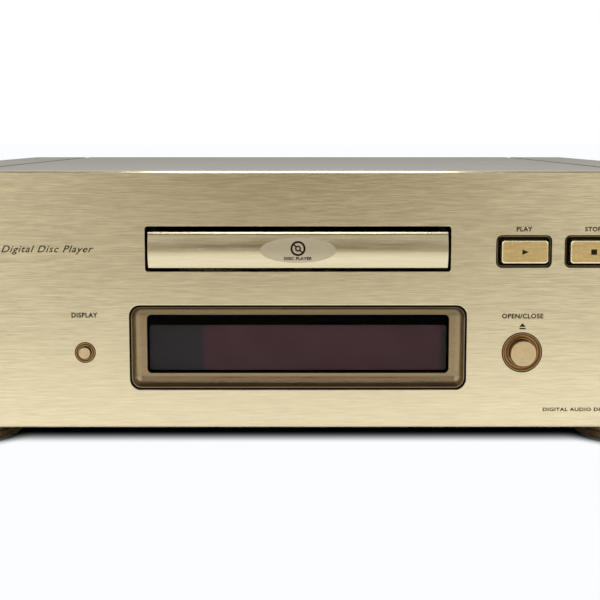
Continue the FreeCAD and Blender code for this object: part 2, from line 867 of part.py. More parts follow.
def display_filter():
    """The tinted film that covers the tube's lit field."""
    top = window_z + window_height / 2 - filter_drop
    low = window_z - window_height / 2 - tube_overlap
    reach = window_width / 2 + tube_overlap
    return block((-reach, reach), (filter_front_y, filter_front_y + filter_thickness), (low, top))


def display_tube():
    """The fluorescent display: a flat glass envelope with its exhaust tip at one end."""
    reach = window_width / 2 + tube_overlap
    half = window_height / 2 + tube_overlap
    depth = (tube_front_y, tube_front_y + tube_thickness)
    body = block((-reach, reach), depth, (window_z - half, window_z + half))
    body = round_along(body, "x", tube_overlap)
    middle_y = tube_front_y + tube_thickness / 2
    tip = rod("x", (middle_y, window_z + half / 2), tube_thickness / 4, reach, reach + tube_thickness)
    return fuse(body, tip)


def front_board():
    """One board behind the whole front: the tube and the lower buttons, and a raised end for the keys."""
    margin = oblong_cap_height
    reach, low, top = front_board_outline()
    depth = (board_y, board_y + board_thickness)
    lower = block((-reach, reach), depth, (low, top))
    key_side = oblong_xs[0] - oblong_cap_width / 2
    raised = block((key_side, oblong_xs[-1] + margin), depth, (top, oblong_z + margin))
    return fuse(lower, raised)


def key_switch(x, z):
    """A square tact switch with a round plunger."""
    half = switch_side / 2
    body = block((x - half, x + half), (board_y - switch_depth, board_y), (z - half, z + half))
    return fuse(body, rod("y", (x, z), plunger_radius, plunger_y, board_y - switch_depth))


def build_display():
    node("display_bezel", display_bezel())
    node("display_window", display_window())
    node("display_filter", display_filter())
    node("display_tube", display_tube())
    node("front_board", front_board())
    places = [(x, oblong_z) for x in oblong_xs] + [(x, button_row_z) for x, _ in ROUND_BUTTONS.values()]
    node("key_switches", *[key_switch(x, z) for x, z in places])


# ---------------------------------------------------------------- keys and buttons

def key_frame(x):
    """The black frame round an oblong key, with a thin raised lip."""
    inset = oblong_frame_recess
    body = oblong_hole(x, face_y + bezel_inset, panel_back_y, -fit_gap)
    lip = fit_gap + oblong_frame_lip
    well = oblong_hole(x, face_y, face_y + inset, -lip)
    bore = plate(
        x, oblong_z, oblong_cap_width + 2 * cap_gap, oblong_cap_height + 2 * cap_gap,
        oblong_cap_radius + cap_gap, face_y, panel_back_y,
    )
    spread = 2 * (cap_flange + cap_pocket_gap)
    pocket = plate(
        x, oblong_z, oblong_cap_width + spread, oblong_cap_height + spread, oblong_cap_radius,
        panel_back_y - cap_flange_thickness, panel_back_y,
    )
    return body.cut(well).cut(bore).cut(pocket)


def oblong_key(x):
    """A key: its cap, the flange that keeps it in its frame, and the stem that works its switch."""
    width, height = oblong_cap_width, oblong_cap_height
    front = face_y - oblong_cap_proud
    rear = cap_flange_y + cap_flange_thickness
    cap = plate(x, oblong_z, width, height, oblong_cap_radius, front, cap_flange_y)
    cap = cap.makeFillet(cap_edge_radius, edges_at_y(cap, front))
    spread = 2 * cap_flange
    flange = plate(x, oblong_z, width + spread, height + spread, oblong_cap_radius, cap_flange_y, rear)
    stem = rod("y", (x, oblong_z), stem_radius, rear, stem_end_y)
    return fuse(cap, flange, stem)


def button_ring(x, radius, cap_radius, dish):
    """A round trim ring whose face is a dished channel round the button."""
    outer = radius - fit_gap
    bore = cap_radius + cap_gap
    pocket = cap_radius + cap_flange + cap_pocket_gap
    step = panel_thickness - cap_flange_thickness
    inner_lip = bore + ring_lip
    outer_lip = outer - ring_lip
    middle = (inner_lip + outer_lip) / 2
    back = panel_thickness
    edges = [
        line((bore, -step), (bore, 0)), line((bore, 0), (inner_lip, 0)),
        arc((inner_lip, 0), (middle, -dish), (outer_lip, 0)), line((outer_lip, 0), (outer, 0)),
        line((outer, 0), (outer, -back)), line((outer, -back), (pocket, -back)),
        line((pocket, -back), (pocket, -step)), line((pocket, -step), (bore, -step)),
    ]
    ring = lathe(edges, V(0, 0, 0), "z")
    ring.rotate(V(0, 0, 0), X_AXIS, 90)
    ring.translate(V(x, face_y, button_row_z))
    return ring


def round_button(x, cap_radius, proud):
    """A round button: cap, rear flange and stem."""
    centre = (x, button_row_z)
    cap = rod("y", centre, cap_radius, face_y - proud, cap_flange_y)
    cap = cap.makeFillet(cap_edge_radius, edges_at_y(cap, face_y - proud))
    flange = rod("y", centre, cap_radius + cap_flange, cap_flange_y, cap_flange_y + cap_flange_thickness)
    stem = rod("y", centre, stem_radius, cap_flange_y + cap_flange_thickness, stem_end_y)
    return fuse(cap, flange, stem)


def build_controls():
    node("key_frames", *[key_frame(x) for x in oblong_xs])
    for name, x in OBLONG_KEYS.items():
        node(name + "_key", oblong_key(x))
    large = []
    small = []
    for name, (x, radius) in ROUND_BUTTONS.items():
        if radius == large_ring_radius:
            large.append(button_ring(x, radius, large_cap_radius, large_dish_depth))
            node(name + "_button", round_button(x, large_cap_radius, large_cap_proud))
        else:
            small.append(button_ring(x, radius, small_cap_radius, small_dish_depth))
            node(name + "_button", round_button(x, small_cap_radius, small_cap_proud))
    node("large_button_rings", *large)
    node("small_button_rings", *small)


# ---------------------------------------------------------------- drawer

door_width = aperture_width - 2 * door_side_gap
door_height = aperture_height - 2 * door_end_gap


def tray_door():
    """The drawer front: a bar with a cylindrical crown, pocketed for its badge."""
    edge_y = face_y - door_edge_proud
    low = aperture_z - door_height / 2
    high = aperture_z + door_height / 2
    x = -door_width / 2
    corners = [V(x, edge_y, high), V(x, tray_front_y, high), V(x, tray_front_y, low), V(x, edge_y, low)]
    crown = Part.Arc(corners[3], V(x, edge_y - door_crown, aperture_z), corners[0]).toShape()
    wire = Part.Wire([Part.makeLine(a, b) for a, b in zip(corners, corners[1:])] + [crown])
    body = Part.Face(wire).extrude(X_AXIS * door_width)
    front = [e for e in body.Edges if e.CenterOfMass.y < edge_y + 1e-3]
    body = body.makeFillet(door_edge_radius, front)
    return body.cut(badge_blank(fit_gap / 3))


def badge_blank(grow=0.0):
    """The oval that is let into the drawer front, from well in front of the crown."""
    front = face_y - door_edge_proud - door_crown
    reach = 2 * badge_proud
    long_radius = badge_width / 2 + grow
    short_radius = badge_height / 2 + grow
    ellipse = Part.Ellipse(V(0, 0, 0), long_radius, short_radius).toShape()
    disc = Part.Face(Part.Wire([ellipse]))
    disc.rotate(V(0, 0, 0), X_AXIS, 90)
    disc.translate(V(0, front - reach, aperture_z))
    return disc.extrude(V(0, reach + badge_inset, 0))


def tray_badge():
    """A thin oval plate that follows the drawer front's crown and stands a little proud of it."""
    radius = ((door_height / 2) ** 2 + door_crown ** 2) / (2 * door_crown)
    centre_y = face_y - door_edge_proud - door_crown + radius
    reach = badge_width
    curve = rod("x", (centre_y, aperture_z), radius + badge_proud, -reach, reach)
    return badge_blank().common(curve)


def disc_tray():
    """The drawer: a plate with a stepped round seat, open behind for the turntable and the pickup."""
    across = (-tray_half_width, tray_half_width)
    body = block(across, (tray_front_y, tray_rear_y), (tray_bottom_z, tray_top_z))
    body = round_along(body, "z", tray_edge_radius)
    seat = rod("z", (0, disc_y), disc_seat_radius, disc_seat_z, tray_top_z)
    small_radius = small_disc_diameter / 2 + disc_seat_gap
    small_seat = rod("z", (0, disc_y), small_radius, disc_seat_z - small_seat_depth, disc_seat_z)
    hub_hole = rod("z", (0, disc_y), slot_half_width, tray_bottom_z, tray_top_z)
    slot = block((-slot_half_width, slot_half_width), (disc_y, tray_rear_y), (tray_bottom_z, tray_top_z))
    notch = rod("z", (0, disc_y - disc_seat_radius), finger_notch_radius, disc_seat_z, tray_top_z)
    body = body.cut(Part.makeCompound([seat])).cut(small_seat).cut(hub_hole).cut(slot).cut(notch)
    well_front = disc_y + disc_seat_radius + arm_floor
    for side in (-1, 1):
        span = sorted((side * (slot_half_width + arm_floor), side * (tray_half_width - arm_wall)))
        well = block(span, (well_front, tray_rear_y - arm_floor), (tray_bottom_z + arm_floor, tray_top_z))
        body = body.cut(round_along(well, "z", arm_floor))
    return fuse(body, tray_rack())


def tray_rack():
    """The drawer's rack, under its left side. A space between teeth faces the drive gear."""
    pitch = math.pi * module
    reach = tray_travel + drive_radius
    count = int(reach / pitch) + 4
    first = gear_row_y - 1.5 * pitch
    half_tooth = pitch / 4 - tooth_play / 2
    lean = math.tan(math.radians(pressure_angle))
    root_x = rack_line_x - 1.25 * module
    tip_x = rack_line_x + module
    points = [(root_x - rack_back, first - pitch / 2)]
    points.append((root_x, first - pitch / 2))
    for n in range(count):
        y = first + n * pitch
        at_root = half_tooth + 1.25 * module * lean
        at_tip = half_tooth - module * lean
        points += [(root_x, y - at_root), (tip_x, y - at_tip), (tip_x, y + at_tip), (root_x, y + at_root)]
    points.append((root_x, first + (count - 0.5) * pitch))
    points.append((root_x - rack_back, first + (count - 0.5) * pitch))
    return prism(points, "z", tray_bottom_z - rack_height, tray_bottom_z)


def build_drawer():
    node("tray_door", tray_door())
    node("tray_badge", tray_badge())
    node("disc_tray", disc_tray())


# ---------------------------------------------------------------- loader and its drive

def loader_chassis():
    """The drawer's housing: two railed walls joined by a front and a rear floor."""
    span_y = (loader_front_y, loader_rear_y)
    pieces = []
    rail_top = tray_bottom_z - rail_gap
    lip_low = tray_top_z + rail_gap
    middle_lip_ys = (disc_y - lip_length / 2, disc_y + disc_seat_radius)
    lip_ys = (loader_front_y, *middle_lip_ys, loader_rear_y - lip_length)
    for side in (-1, 1):
        wall = sorted((side * loader_inner, side * loader_outer))
        pieces.append(block(wall, span_y, (loader_bottom_z, loader_top_z)))
        rail = sorted((side * (loader_inner - rail_width), side * loader_inner))
        pieces.append(block(rail, span_y, (rail_top - rail_thickness, rail_top)))
        for y in lip_ys:
            pieces.append(block(rail, (y, y + lip_length), (lip_low, lip_low + rail_thickness)))
    across = (-loader_inner, loader_inner)
    floor = (loader_floor_z - loader_floor, loader_floor_z)
    pieces.append(block(across, (loader_front_y, front_floor_rear_y), floor))
    pieces.append(block(across, (rear_floor_front_y, loader_rear_y), floor))
    guide_y = (cam_front_y - run_gap - guide_wall, cam_front_y - run_gap)
    pieces.append(block(across, guide_y, (loader_bottom_z, floor[0])))
    bed = (cam_front_y - run_gap, cam_rear_y + guide_wall)
    pieces.append(block(across, bed, (loader_bottom_z, cam_bottom_z - rail_gap)))
    for side in (-1, 1):
        inner_x = deck_half_width + slide_gap
        ear_x = sorted((side * inner_x, side * (inner_x + ear_wall)))
        ear_y = (hinge_y - ear_side / 2, hinge_y + ear_side / 2)
        pieces.append(block(ear_x, ear_y, (loader_floor_z, hinge_z + ear_side / 2)))
    post_top = gear_top_z - pulley_gap
    for x, seat in ((drive_x, gear_bottom_z), (pulley_x, pulley_bottom_z)):
        pieces.append(rod("z", (x, gear_row_y), post_radius, loader_floor_z, post_top))
        pieces.append(rod("z", (x, gear_row_y), drive_gear_hub, loader_floor_z, seat - run_gap))
    body = fuse(*pieces)
    hinge = rod("x", (hinge_y, hinge_z), trunnion_radius + run_gap, -loader_inner, loader_inner)
    keep = 2 * motor_shaft_radius + slide_gap
    shaft_hole = rod("z", (motor_x, gear_row_y), keep, loader_floor_z - loader_floor, loader_floor_z)
    return body.cut(hinge).cut(shaft_hole)


def tray_drive_gear():
    body = gear(drive_teeth, (drive_x, gear_row_y), gear_bottom_z, gear_top_z)
    return body.cut(rod("z", (drive_x, gear_row_y), post_radius + run_gap, gear_bottom_z, gear_top_z))


def pulley_gear():
    """The belt's large pulley, with the pinion on top that turns the drive gear."""
    centre = (pulley_x, gear_row_y)
    groove = pulley_radius - pulley_groove
    profile = outline([
        (post_radius + run_gap, pulley_bottom_z), (pulley_radius, pulley_bottom_z),
        (pulley_radius, belt_z - belt_thickness), (groove, belt_z - belt_thickness / 2),
        (groove, belt_z + belt_thickness / 2), (pulley_radius, belt_z + belt_thickness),
        (pulley_radius, pulley_top_z), (post_radius + run_gap, pulley_top_z),
    ])
    wheel = lathe(profile, V(centre[0], centre[1], 0), "z")
    half_pitch = 180.0 / pinion_teeth
    top = pulley_top_z + pulley_gap + pinion_height
    teeth = gear(pinion_teeth, centre, pulley_top_z, top, half_pitch)
    teeth = teeth.cut(rod("z", centre, post_radius + run_gap, pulley_top_z, top))
    return fuse(wheel, teeth)


def motor_pulley():
    groove = motor_pulley_radius - pulley_groove
    shaft = motor_shaft_radius + run_gap
    profile = outline([
        (shaft, pulley_bottom_z), (motor_pulley_radius, pulley_bottom_z),
        (motor_pulley_radius, belt_z - belt_thickness), (groove, belt_z - belt_thickness / 2),
        (groove, belt_z + belt_thickness / 2), (motor_pulley_radius, belt_z + belt_thickness),
        (motor_pulley_radius, pulley_top_z), (shaft, pulley_top_z),
    ])
    return lathe(profile, V(motor_x, gear_row_y, 0), "z")


def loading_belt():
    """A square belt round both pulleys."""
    big = pulley_radius - pulley_groove + belt_gap
    small = motor_pulley_radius - pulley_groove + belt_gap
    half = belt_thickness / 2 - belt_gap

    def loop(extra):
        """The shape that a band makes round two circles, grown by extra."""
        r1 = big + extra
        r2 = small + extra
        lean = math.asin((r1 - r2) / motor_pulley_offset)
        tangent = V(math.sin(lean), math.cos(lean), 0)
        a = V(pulley_x, gear_row_y, belt_z - half)
        b = V(motor_x, gear_row_y, belt_z - half)
        flip = V(tangent.x, -tangent.y, 0)
        edges = [
            Part.Arc(a + tangent * r1, a - X_AXIS * r1, a + flip * r1).toShape(),
            Part.makeLine(a + flip * r1, b + flip * r2),
            Part.Arc(b + flip * r2, b + X_AXIS * r2, b + tangent * r2).toShape(),
            Part.makeLine(b + tangent * r2, a + tangent * r1),
        ]
        return Part.Face(Part.Wire(edges)).extrude(V(0, 0, 2 * half))

    return loop(belt_thickness).cut(loop(0))


def loading_motor():
    """The can, its mounting boss under the loader's floor, and its shaft."""
    centre = (motor_x, gear_row_y)
    top = loader_floor_z - loader_floor
    can = rod("z", centre, motor_radius, top - motor_length, top)
    can = can.makeFillet(motor_edge_radius, [e for e in can.Edges if e.BoundBox.ZMax < top - 1])
    boss = rod("z", centre, 2 * motor_shaft_radius, top, top + loader_floor)
    shaft = rod("z", centre, motor_shaft_radius, top, pulley_top_z)
    return fuse(can, boss, shaft)


def lift_cam():
    """A sliding plate whose slanted slot lets the pickup unit down. Its slot falls towards -X."""
    across = (-cam_travel - cam_margin, cam_margin)
    body = block(across, (cam_front_y, cam_rear_y), (cam_bottom_z, cam_top_z))
    half = lift_pin_radius + cam_pin_gap
    start = V(0, cam_front_y, lift_pin_z)
    end = V(-cam_travel, cam_front_y, lift_pin_z - lift_drop)
    along = (end - start).normalize()
    across = V(-along.z, 0, along.x) * half
    wire = Part.Wire([
        Part.makeLine(start + across, end + across),
        Part.Arc(end + across, end + along * half, end - across).toShape(),
        Part.makeLine(end - across, start - across),
        Part.Arc(start - across, start - along * half, start + across).toShape(),
    ])
    return body.cut(Part.Face(wire).extrude(Y_AXIS * cam_thickness))


def mechanism_stand():
    """A bent plate that carries the loader above the base."""
    margin = stand_margin
    y = (loader_front_y + margin, loader_rear_y + margin)
    plate_z = (stand_top_z - stand_plate, stand_top_z)
    pieces = [block((-stand_half_width, stand_half_width), y, plate_z)]
    for side in (-1, 1):
        leg = sorted((side * (stand_half_width - stand_plate), side * stand_half_width))
        pieces.append(block(leg, y, (floor_z, stand_top_z)))
        sole = sorted((side * (stand_half_width - stand_foot), side * stand_half_width))
        pieces.append(block(sole, y, (floor_z, floor_z + stand_plate)))
    body = fuse(*pieces)
    return body.cut(rod("z", (motor_x, gear_row_y), motor_radius + 1.5, plate_z[0], plate_z[1]))


def build_loader():
    node("mechanism_stand", mechanism_stand())
    node("loader_chassis", loader_chassis())
    node("tray_drive_gear", tray_drive_gear())
    node("pulley_gear", pulley_gear())
    node("motor_pulley", motor_pulley())
    node("loading_belt", loading_belt())
    node("loading_motor", loading_motor())
    node("lift_cam", lift_cam())


# ---------------------------------------------------------------- pickup unit

def pickup_deck():
    """The tilting deck: a plate with side flanges, two rod carriers, its trunnions and the lift pin."""
    across = (-deck_half_width, deck_half_width)
    pieces = [block(across, (deck_front_y, deck_rear_y), (deck_bottom_z, deck_top_z))]
    for side in (-1, 1):
        inner_x = deck_half_width - deck_flange_wall
        flange = sorted((side * inner_x, side * deck_half_width))
        lug = (hinge_y - 2 * trunnion_radius, hinge_y + 2 * trunnion_radius)
        pieces.append(block(flange, lug, (hinge_z - trunnion_radius, deck_top_z)))
        pieces.append(block(flange, (deck_front_y, lug[0]), (rod_z - 2 * rod_radius, deck_top_z)))
        reach = sorted((side * inner_x, side * (deck_half_width + trunnion_reach)))
        pieces.append(rod("x", (hinge_y, hinge_z), trunnion_radius, *reach))
    carrier_z = (rod_z - 2 * rod_radius, deck_top_z)
    pieces.append(block(across, (deck_front_y, deck_front_y + deck_thickness), carrier_z))
    pieces.append(block(across, (rod_rear_y - deck_flange_wall, rod_rear_y), carrier_z))
    pieces.append(rod("y", (0, lift_pin_z), lift_pin_radius, cam_front_y + slide_gap, deck_front_y))
    body = fuse(*pieces)
    across = (-deck_opening_half_width, deck_opening_half_width)
    along = (disc_y + spindle_motor_radius + deck_thickness, rod_rear_y - deck_flange_wall)
    opening = block(across, along, (deck_bottom_z, deck_top_z))
    spindle_hole = rod("z", (0, disc_y), 2 * spindle_radius, deck_bottom_z, deck_top_z)
    body = body.cut(opening).cut(spindle_hole)
    for side in (-1, 1):
        centre = (side * rod_offset, rod_z)
        body = body.cut(rod("y", centre, rod_radius + run_gap, deck_front_y, rod_rear_y))
    return body


def spindle_motor():
    centre = (0, disc_y)
    can = rod("z", centre, spindle_motor_radius, deck_bottom_z - spindle_motor_height, deck_bottom_z)
    lower = [e for e in can.Edges if e.BoundBox.ZMax < deck_bottom_z - 1]
    can = can.makeFillet(motor_edge_radius, lower)
    return fuse(can, rod("z", centre, spindle_radius, deck_bottom_z, turntable_z))


def turntable():
    """The disc's platter: skirt, rim and centring cone, pressed on the spindle."""
    shaft = spindle_radius + run_gap
    low = deck_top_z + slide_gap
    rim_low = turntable_z - turntable_rim
    profile = outline([
        (shaft, low), (turntable_skirt_radius, low), (turntable_skirt_radius, rim_low),
        (turntable_radius, rim_low), (turntable_radius, turntable_z), (hub_radius, turntable_z),
        (hub_radius, turntable_z + hub_height), (hub_tip_radius, turntable_z + hub_height + hub_tip_height),
        (shaft, turntable_z + hub_height + hub_tip_height),
    ])
    return lathe(profile, V(0, disc_y, 0), "z")


def laser_sled():
    """The carriage on its rod and leadscrew, with the tower that carries the lens."""
    y = (lens_y - sled_front, lens_y + sled_rear)
    low = rod_z - sled_height / 2
    base = block((-sled_half_width, sled_half_width), y, (low, low + sled_height))
    top = disc_seat_z - sled_tower_below_seat
    tower_y = (lens_y - sled_front, lens_y + sled_front)
    tower = block((-sled_tower_half_width, sled_tower_half_width), tower_y, (low + sled_height, top))
    body = fuse(base, round_along(tower, "z", tray_edge_radius))
    for side in (-1, 1):
        body = body.cut(rod("y", (side * rod_offset, rod_z), rod_radius + run_gap, *y))
    return body


def sled_motor():
    """A small motor behind the rear rod carrier, in line with the leadscrew."""
    return rod("y", (rod_offset, rod_z), sled_motor_radius, rod_rear_y, rod_rear_y + sled_motor_length)


def disc_clamp():
    """The magnetic puck that holds a disc on the turntable and hangs in the bridge when it is free."""
    stem_top = loader_top_z + bridge_thickness + clamp_float
    ring_top = clamp_bottom_z + clamp_ring
    profile = outline([
        (0, ring_top), (clamp_bore_radius, ring_top), (clamp_bore_radius, clamp_bottom_z),
        (clamp_radius, clamp_bottom_z), (clamp_radius, ring_top + clamp_cap),
        (clamp_stem_radius, ring_top + clamp_cap), (clamp_stem_radius, stem_top),
        (clamp_flange_radius, stem_top), (clamp_flange_radius, stem_top + clamp_flange),
        (0, stem_top + clamp_flange),
    ])
    return lathe(profile, V(0, disc_y, 0), "z")


def clamp_bridge():
    """The pressed bridge over the drawer that the clamp hangs in."""
    across = (-loader_outer, loader_outer)
    y = (disc_y - bridge_width / 2, disc_y + bridge_width / 2)
    z = (loader_top_z, loader_top_z + bridge_thickness)
    pieces = [block(across, y, z)]
    for low in (y[0], y[1] - bridge_thickness):
        pieces.append(block(across, (low, low + bridge_thickness), (z[1], z[1] + bridge_rib)))
    return fuse(*pieces).cut(rod("z", (0, disc_y), bridge_hole_radius, z[0], z[1]))


def build_pickup():
    node("pickup_deck", pickup_deck())
    node("spindle_motor", spindle_motor())
    node("turntable", turntable())
    node("laser_sled", laser_sled())
    seat = disc_seat_z - sled_tower_below_seat
    node("objective_lens", rod("z", (0, lens_y), lens_radius, seat, seat + lens_height))
    node("guide_rod", rod("y", (-rod_offset, rod_z), rod_radius, deck_front_y, rod_rear_y))
    node("leadscrew", rod("y", (rod_offset, rod_z), rod_radius, deck_front_y, rod_rear_y))
    node("sled_motor", sled_motor())
    node("disc_clamp", disc_clamp())
    node("clamp_bridge", clamp_bridge())


# ---------------------------------------------------------------- electronics

def transformer(front_y):
    """A laminated transformer: core, winding and a mounting foot along each side."""
    outer = -(inner_half_width - sheet - transformer_clear)
    middle = outer + transformer_width / 2
    y = (front_y, front_y + transformer_length)
    core = block((outer, outer + transformer_width), y, (floor_z, floor_z + transformer_height))
    rise = (transformer_height - coil_height) / 2
    coil = block(
        (middle - coil_width / 2, middle + coil_width / 2),
        (y[0] - coil_overhang, y[1] + coil_overhang), (floor_z + rise, floor_z + rise + coil_height),
    )
    coil = round_along(coil, "z", coil_overhang - sheet)
    foot_span = (outer - transformer_foot, outer + transformer_width + transformer_foot)
    feet = block(foot_span, y, (floor_z, floor_z + sheet))
    return fuse(core, coil, feet)


def main_board_box():
    """(x, y, z) spans of the main board, along the right-hand side."""
    outer = inner_half_width - sheet - main_board_side_gap
    x = (outer - main_board_width, outer)
    y = (board_y + main_board_front, rear_inner_y - sheet - main_board_rear)
    z = (floor_z + board_spacer, floor_z + board_spacer + board_thickness)
    return x, y, z


def board_spacers():
    """The posts under the main board's corners."""
    x, y, _ = main_board_box()
    inset = 2 * spacer_radius
    places = [(a, b) for a in (x[0] + inset, x[1] - inset) for b in (y[0] + inset, y[1] - inset)]
    return [rod("z", place, spacer_radius, floor_z, floor_z + board_spacer) for place in places]


def capacitor_cans():
    """A row of smoothing capacitors on the main board."""
    x, y, z = main_board_box()
    middle = (x[0] + x[1]) / 2
    start = (y[0] + y[1]) / 2 - can_pitch * (can_count - 1) / 2
    cans = []
    for n in range(can_count):
        can = rod("z", (middle, start + n * can_pitch), can_radius, z[1], z[1] + can_height)
        cans.append(can.makeFillet(motor_edge_radius, [e for e in can.Edges if e.BoundBox.ZMin > z[1] + 1]))
    return cans


def phono_jack(x, z):
    """A turned phono jack: body inside, collar on the panel, barrel and its centre bore."""
    length = rear_projection
    bottom = length - jack_bore_depth
    profile = outline([
        (0, -jack_body_length), (jack_body_radius, -jack_body_length), (jack_body_radius, 0),
        (jack_collar_radius, 0), (jack_collar_radius, jack_collar), (jack_barrel_radius, jack_collar),
        (jack_barrel_radius, length), (jack_bore_radius, length), (jack_bore_radius, bottom), (0, bottom),
    ])
    return lathe(profile, V(x, rear_y, z), "y")


def optical_output():
    """The square optical output with its shutter closed."""
    front = rear_y + optical_proud
    outside = plate(optical_x, optical_z, optical_width, optical_height, ring_lip, rear_y, front)
    inside = plate(
        optical_x, optical_z, optical_width - 3 * ring_lip, optical_height - 3 * ring_lip, ring_lip,
        rear_y - optical_body, rear_y,
    )
    shutter = plate(
        optical_x, optical_z, optical_width / 2, optical_height / 2, ring_lip, front - ring_lip, front,
    )
    return fuse(outside, inside).cut(shutter)


def mains_inlet():
    """A three-blade appliance inlet with its flange outside the rear panel."""
    mouth_y = rear_y + inlet_flange
    width, height = inlet_flange_width, inlet_flange_height
    flange = plate(inlet_x, inlet_z, width, height, inlet_flange, rear_y, mouth_y)
    body = plate(
        inlet_x, inlet_z, inlet_body_width, inlet_body_height, fit_gap,
        mouth_y - inlet_body_length, rear_y,
    )
    cavity = plate(
        inlet_x, inlet_z, inlet_cavity_width, inlet_cavity_height, inlet_flange,
        mouth_y - inlet_cavity_depth, mouth_y,
    )
    body = fuse(flange, body).cut(cavity)
    for side in (-1, 1):
        place = (inlet_x + side * inlet_screw_pitch / 2, inlet_z)
        body = body.cut(rod("y", place, screw_radius + run_gap, rear_y, mouth_y))
    low = mouth_y - inlet_cavity_depth
    places = [(-blade_pitch / 2, -blade_drop), (blade_pitch / 2, -blade_drop), (0, earth_rise)]
    for x, z in places:
        span_x = (inlet_x + x - blade_width / 2, inlet_x + x + blade_width / 2)
        span_z = (inlet_z + z - blade_height / 2, inlet_z + z + blade_height / 2)
        body = fuse(body, block(span_x, (low, low + blade_length), span_z))
    return body


def build_electronics():
    first = loader_front_y + transformer_gap
    node("digital_transformer", transformer(first))
    node("audio_transformer", transformer(first + transformer_length + 2 * coil_overhang + transformer_gap))
    node("main_board", block(*main_board_box()))
    node("board_spacers", *board_spacers())
    node("capacitor_cans", *capacitor_cans())
    node("phono_jacks", *[phono_jack(x, z) for x, z in jack_places()])
    node("optical_output", optical_output())
    node("mains_inlet", mains_inlet())


def export_all():
    os.makedirs("parts", exist_ok=True)
    for old in os.listdir("parts"):
        os.remove(os.path.join("parts", old))
    for name, shape in sorted(NODES.items()):
        if not shape.isValid():
            print("not valid:", name)
        shape.exportStep(os.path.join("parts", name + ".step"))
    print(len(NODES), "nodes")


build_case()
build_display()
build_controls()
build_drawer()
build_loader()
build_pickup()
build_electronics()
export_all()
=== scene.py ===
import math

import bmesh
import bpy
from mathutils import Matrix, Vector


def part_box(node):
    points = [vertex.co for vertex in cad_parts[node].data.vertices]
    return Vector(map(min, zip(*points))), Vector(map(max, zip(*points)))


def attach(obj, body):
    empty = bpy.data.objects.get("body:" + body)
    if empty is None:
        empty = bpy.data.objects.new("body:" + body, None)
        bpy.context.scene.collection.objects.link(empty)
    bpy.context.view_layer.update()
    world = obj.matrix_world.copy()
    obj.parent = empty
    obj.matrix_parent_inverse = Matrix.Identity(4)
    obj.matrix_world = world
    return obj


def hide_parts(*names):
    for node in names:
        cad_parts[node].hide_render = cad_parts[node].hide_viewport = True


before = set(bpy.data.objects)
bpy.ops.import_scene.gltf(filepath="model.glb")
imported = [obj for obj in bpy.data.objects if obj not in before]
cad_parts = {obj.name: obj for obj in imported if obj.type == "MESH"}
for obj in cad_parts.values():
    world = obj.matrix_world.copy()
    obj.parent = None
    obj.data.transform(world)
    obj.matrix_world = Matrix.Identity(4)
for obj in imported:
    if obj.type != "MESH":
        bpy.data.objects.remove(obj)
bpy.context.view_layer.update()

# A full-width hi-fi disc player: a thick brushed champagne panel, a front-loading drawer, a deep
# smoked display, turned and oblong keys, a grey steel cover and four round feet.
# Lengths are in metres. X is to the right seen from the front, the panel faces -Y, Z is up.
mm = 0.001

# ------------------------------------------------------------------ camera
# A long lens close to the panel, a little above its top edge and looking slightly down, so that
# the panel fills the frame from side to side and the top cover is seen edge on.
camera_place = Vector((0.0, -0.801, 0.1517))
camera_pitch = math.radians(7.234)
camera_turn = math.radians(0.088)
bpy.ops.object.camera_add(
    location=camera_place, rotation=(math.pi / 2 - camera_pitch, 0, -camera_turn))
camera = bpy.context.object
camera.data.lens = 78
camera.data.sensor_width = 36
camera.data.clip_start = 0.01
bpy.context.scene.camera = camera

# ------------------------------------------------------------------ front panel
# A 10 mm slab of aluminium, bevelled bright along its front edges, brushed along its length and
# anodised champagne. It is milled through for the drawer, the display and every key.


def deselect():
    bpy.ops.object.select_all(action="DESELECT")


def made(name, size=(1, 1, 1)):
    """The piece just added, named, with its place and size taken into its mesh."""
    piece = bpy.context.object
    piece.name = piece.data.name = name
    piece.scale = size
    bpy.ops.object.transform_apply(location=True, rotation=True, scale=True)
    return piece


def block(name, low, high):
    """A rectangular blank between two corners."""
    low, high = Vector(low), Vector(high)
    deselect()
    bpy.ops.mesh.primitive_cube_add(size=1, location=(low + high) / 2)
    return made(name, high - low)


def make_active(piece):
    """Makes a piece the only selected one."""
    deselect()
    piece.select_set(True)
    bpy.context.view_layer.objects.active = piece


def bevel_edges(piece, size, segments, wanted):
    """Rounds or chamfers the edges that wanted picks out."""
    make_active(piece)
    bpy.ops.object.mode_set(mode="EDIT")
    bpy.ops.mesh.select_mode(type="EDGE")
    bpy.ops.mesh.select_all(action="DESELECT")
    mesh = bmesh.from_edit_mesh(piece.data)
    for edge in mesh.edges:
        edge.select_set(wanted(edge))
    bmesh.update_edit_mesh(piece.data)
    bpy.ops.mesh.bevel(offset=size, offset_type="OFFSET", segments=segments, profile=0.5,
                       affect="EDGES", clamp_overlap=True)
    bpy.ops.object.mode_set(mode="OBJECT")


def along(axis):
    """Picks the edges that run along x, y or z: 0, 1 or 2."""
    def wanted(edge):
        run = edge.verts[1].co - edge.verts[0].co
        return abs(run[axis]) > 0.999 * run.length
    return wanted


def at_depth(y, low=Vector((-1, 0, -1)), high=Vector((1, 0, 1))):
    """Picks the edges in the plane at that y, between two corners seen from the front."""
    def wanted(edge):
        return all(abs(v.co.y - y) < 1e-6 and low.x < v.co.x < high.x
                   and low.z < v.co.z < high.z for v in edge.verts)
    return wanted


def rounded_block(name, low, high, radius, segments=8):
    """A blank whose four corners, seen from the front, are rounded."""
    piece = block(name, low, high)
    bevel_edges(piece, radius, segments, along(1))
    return piece


def slab(name, centre, half, front, back, radius, segments=8):
    """A rounded blank about a centre, from one depth to another."""
    low, high = centre - half, centre + half
    return rounded_block(name, (low.x, front, low.z), (high.x, back, high.z), radius, segments)


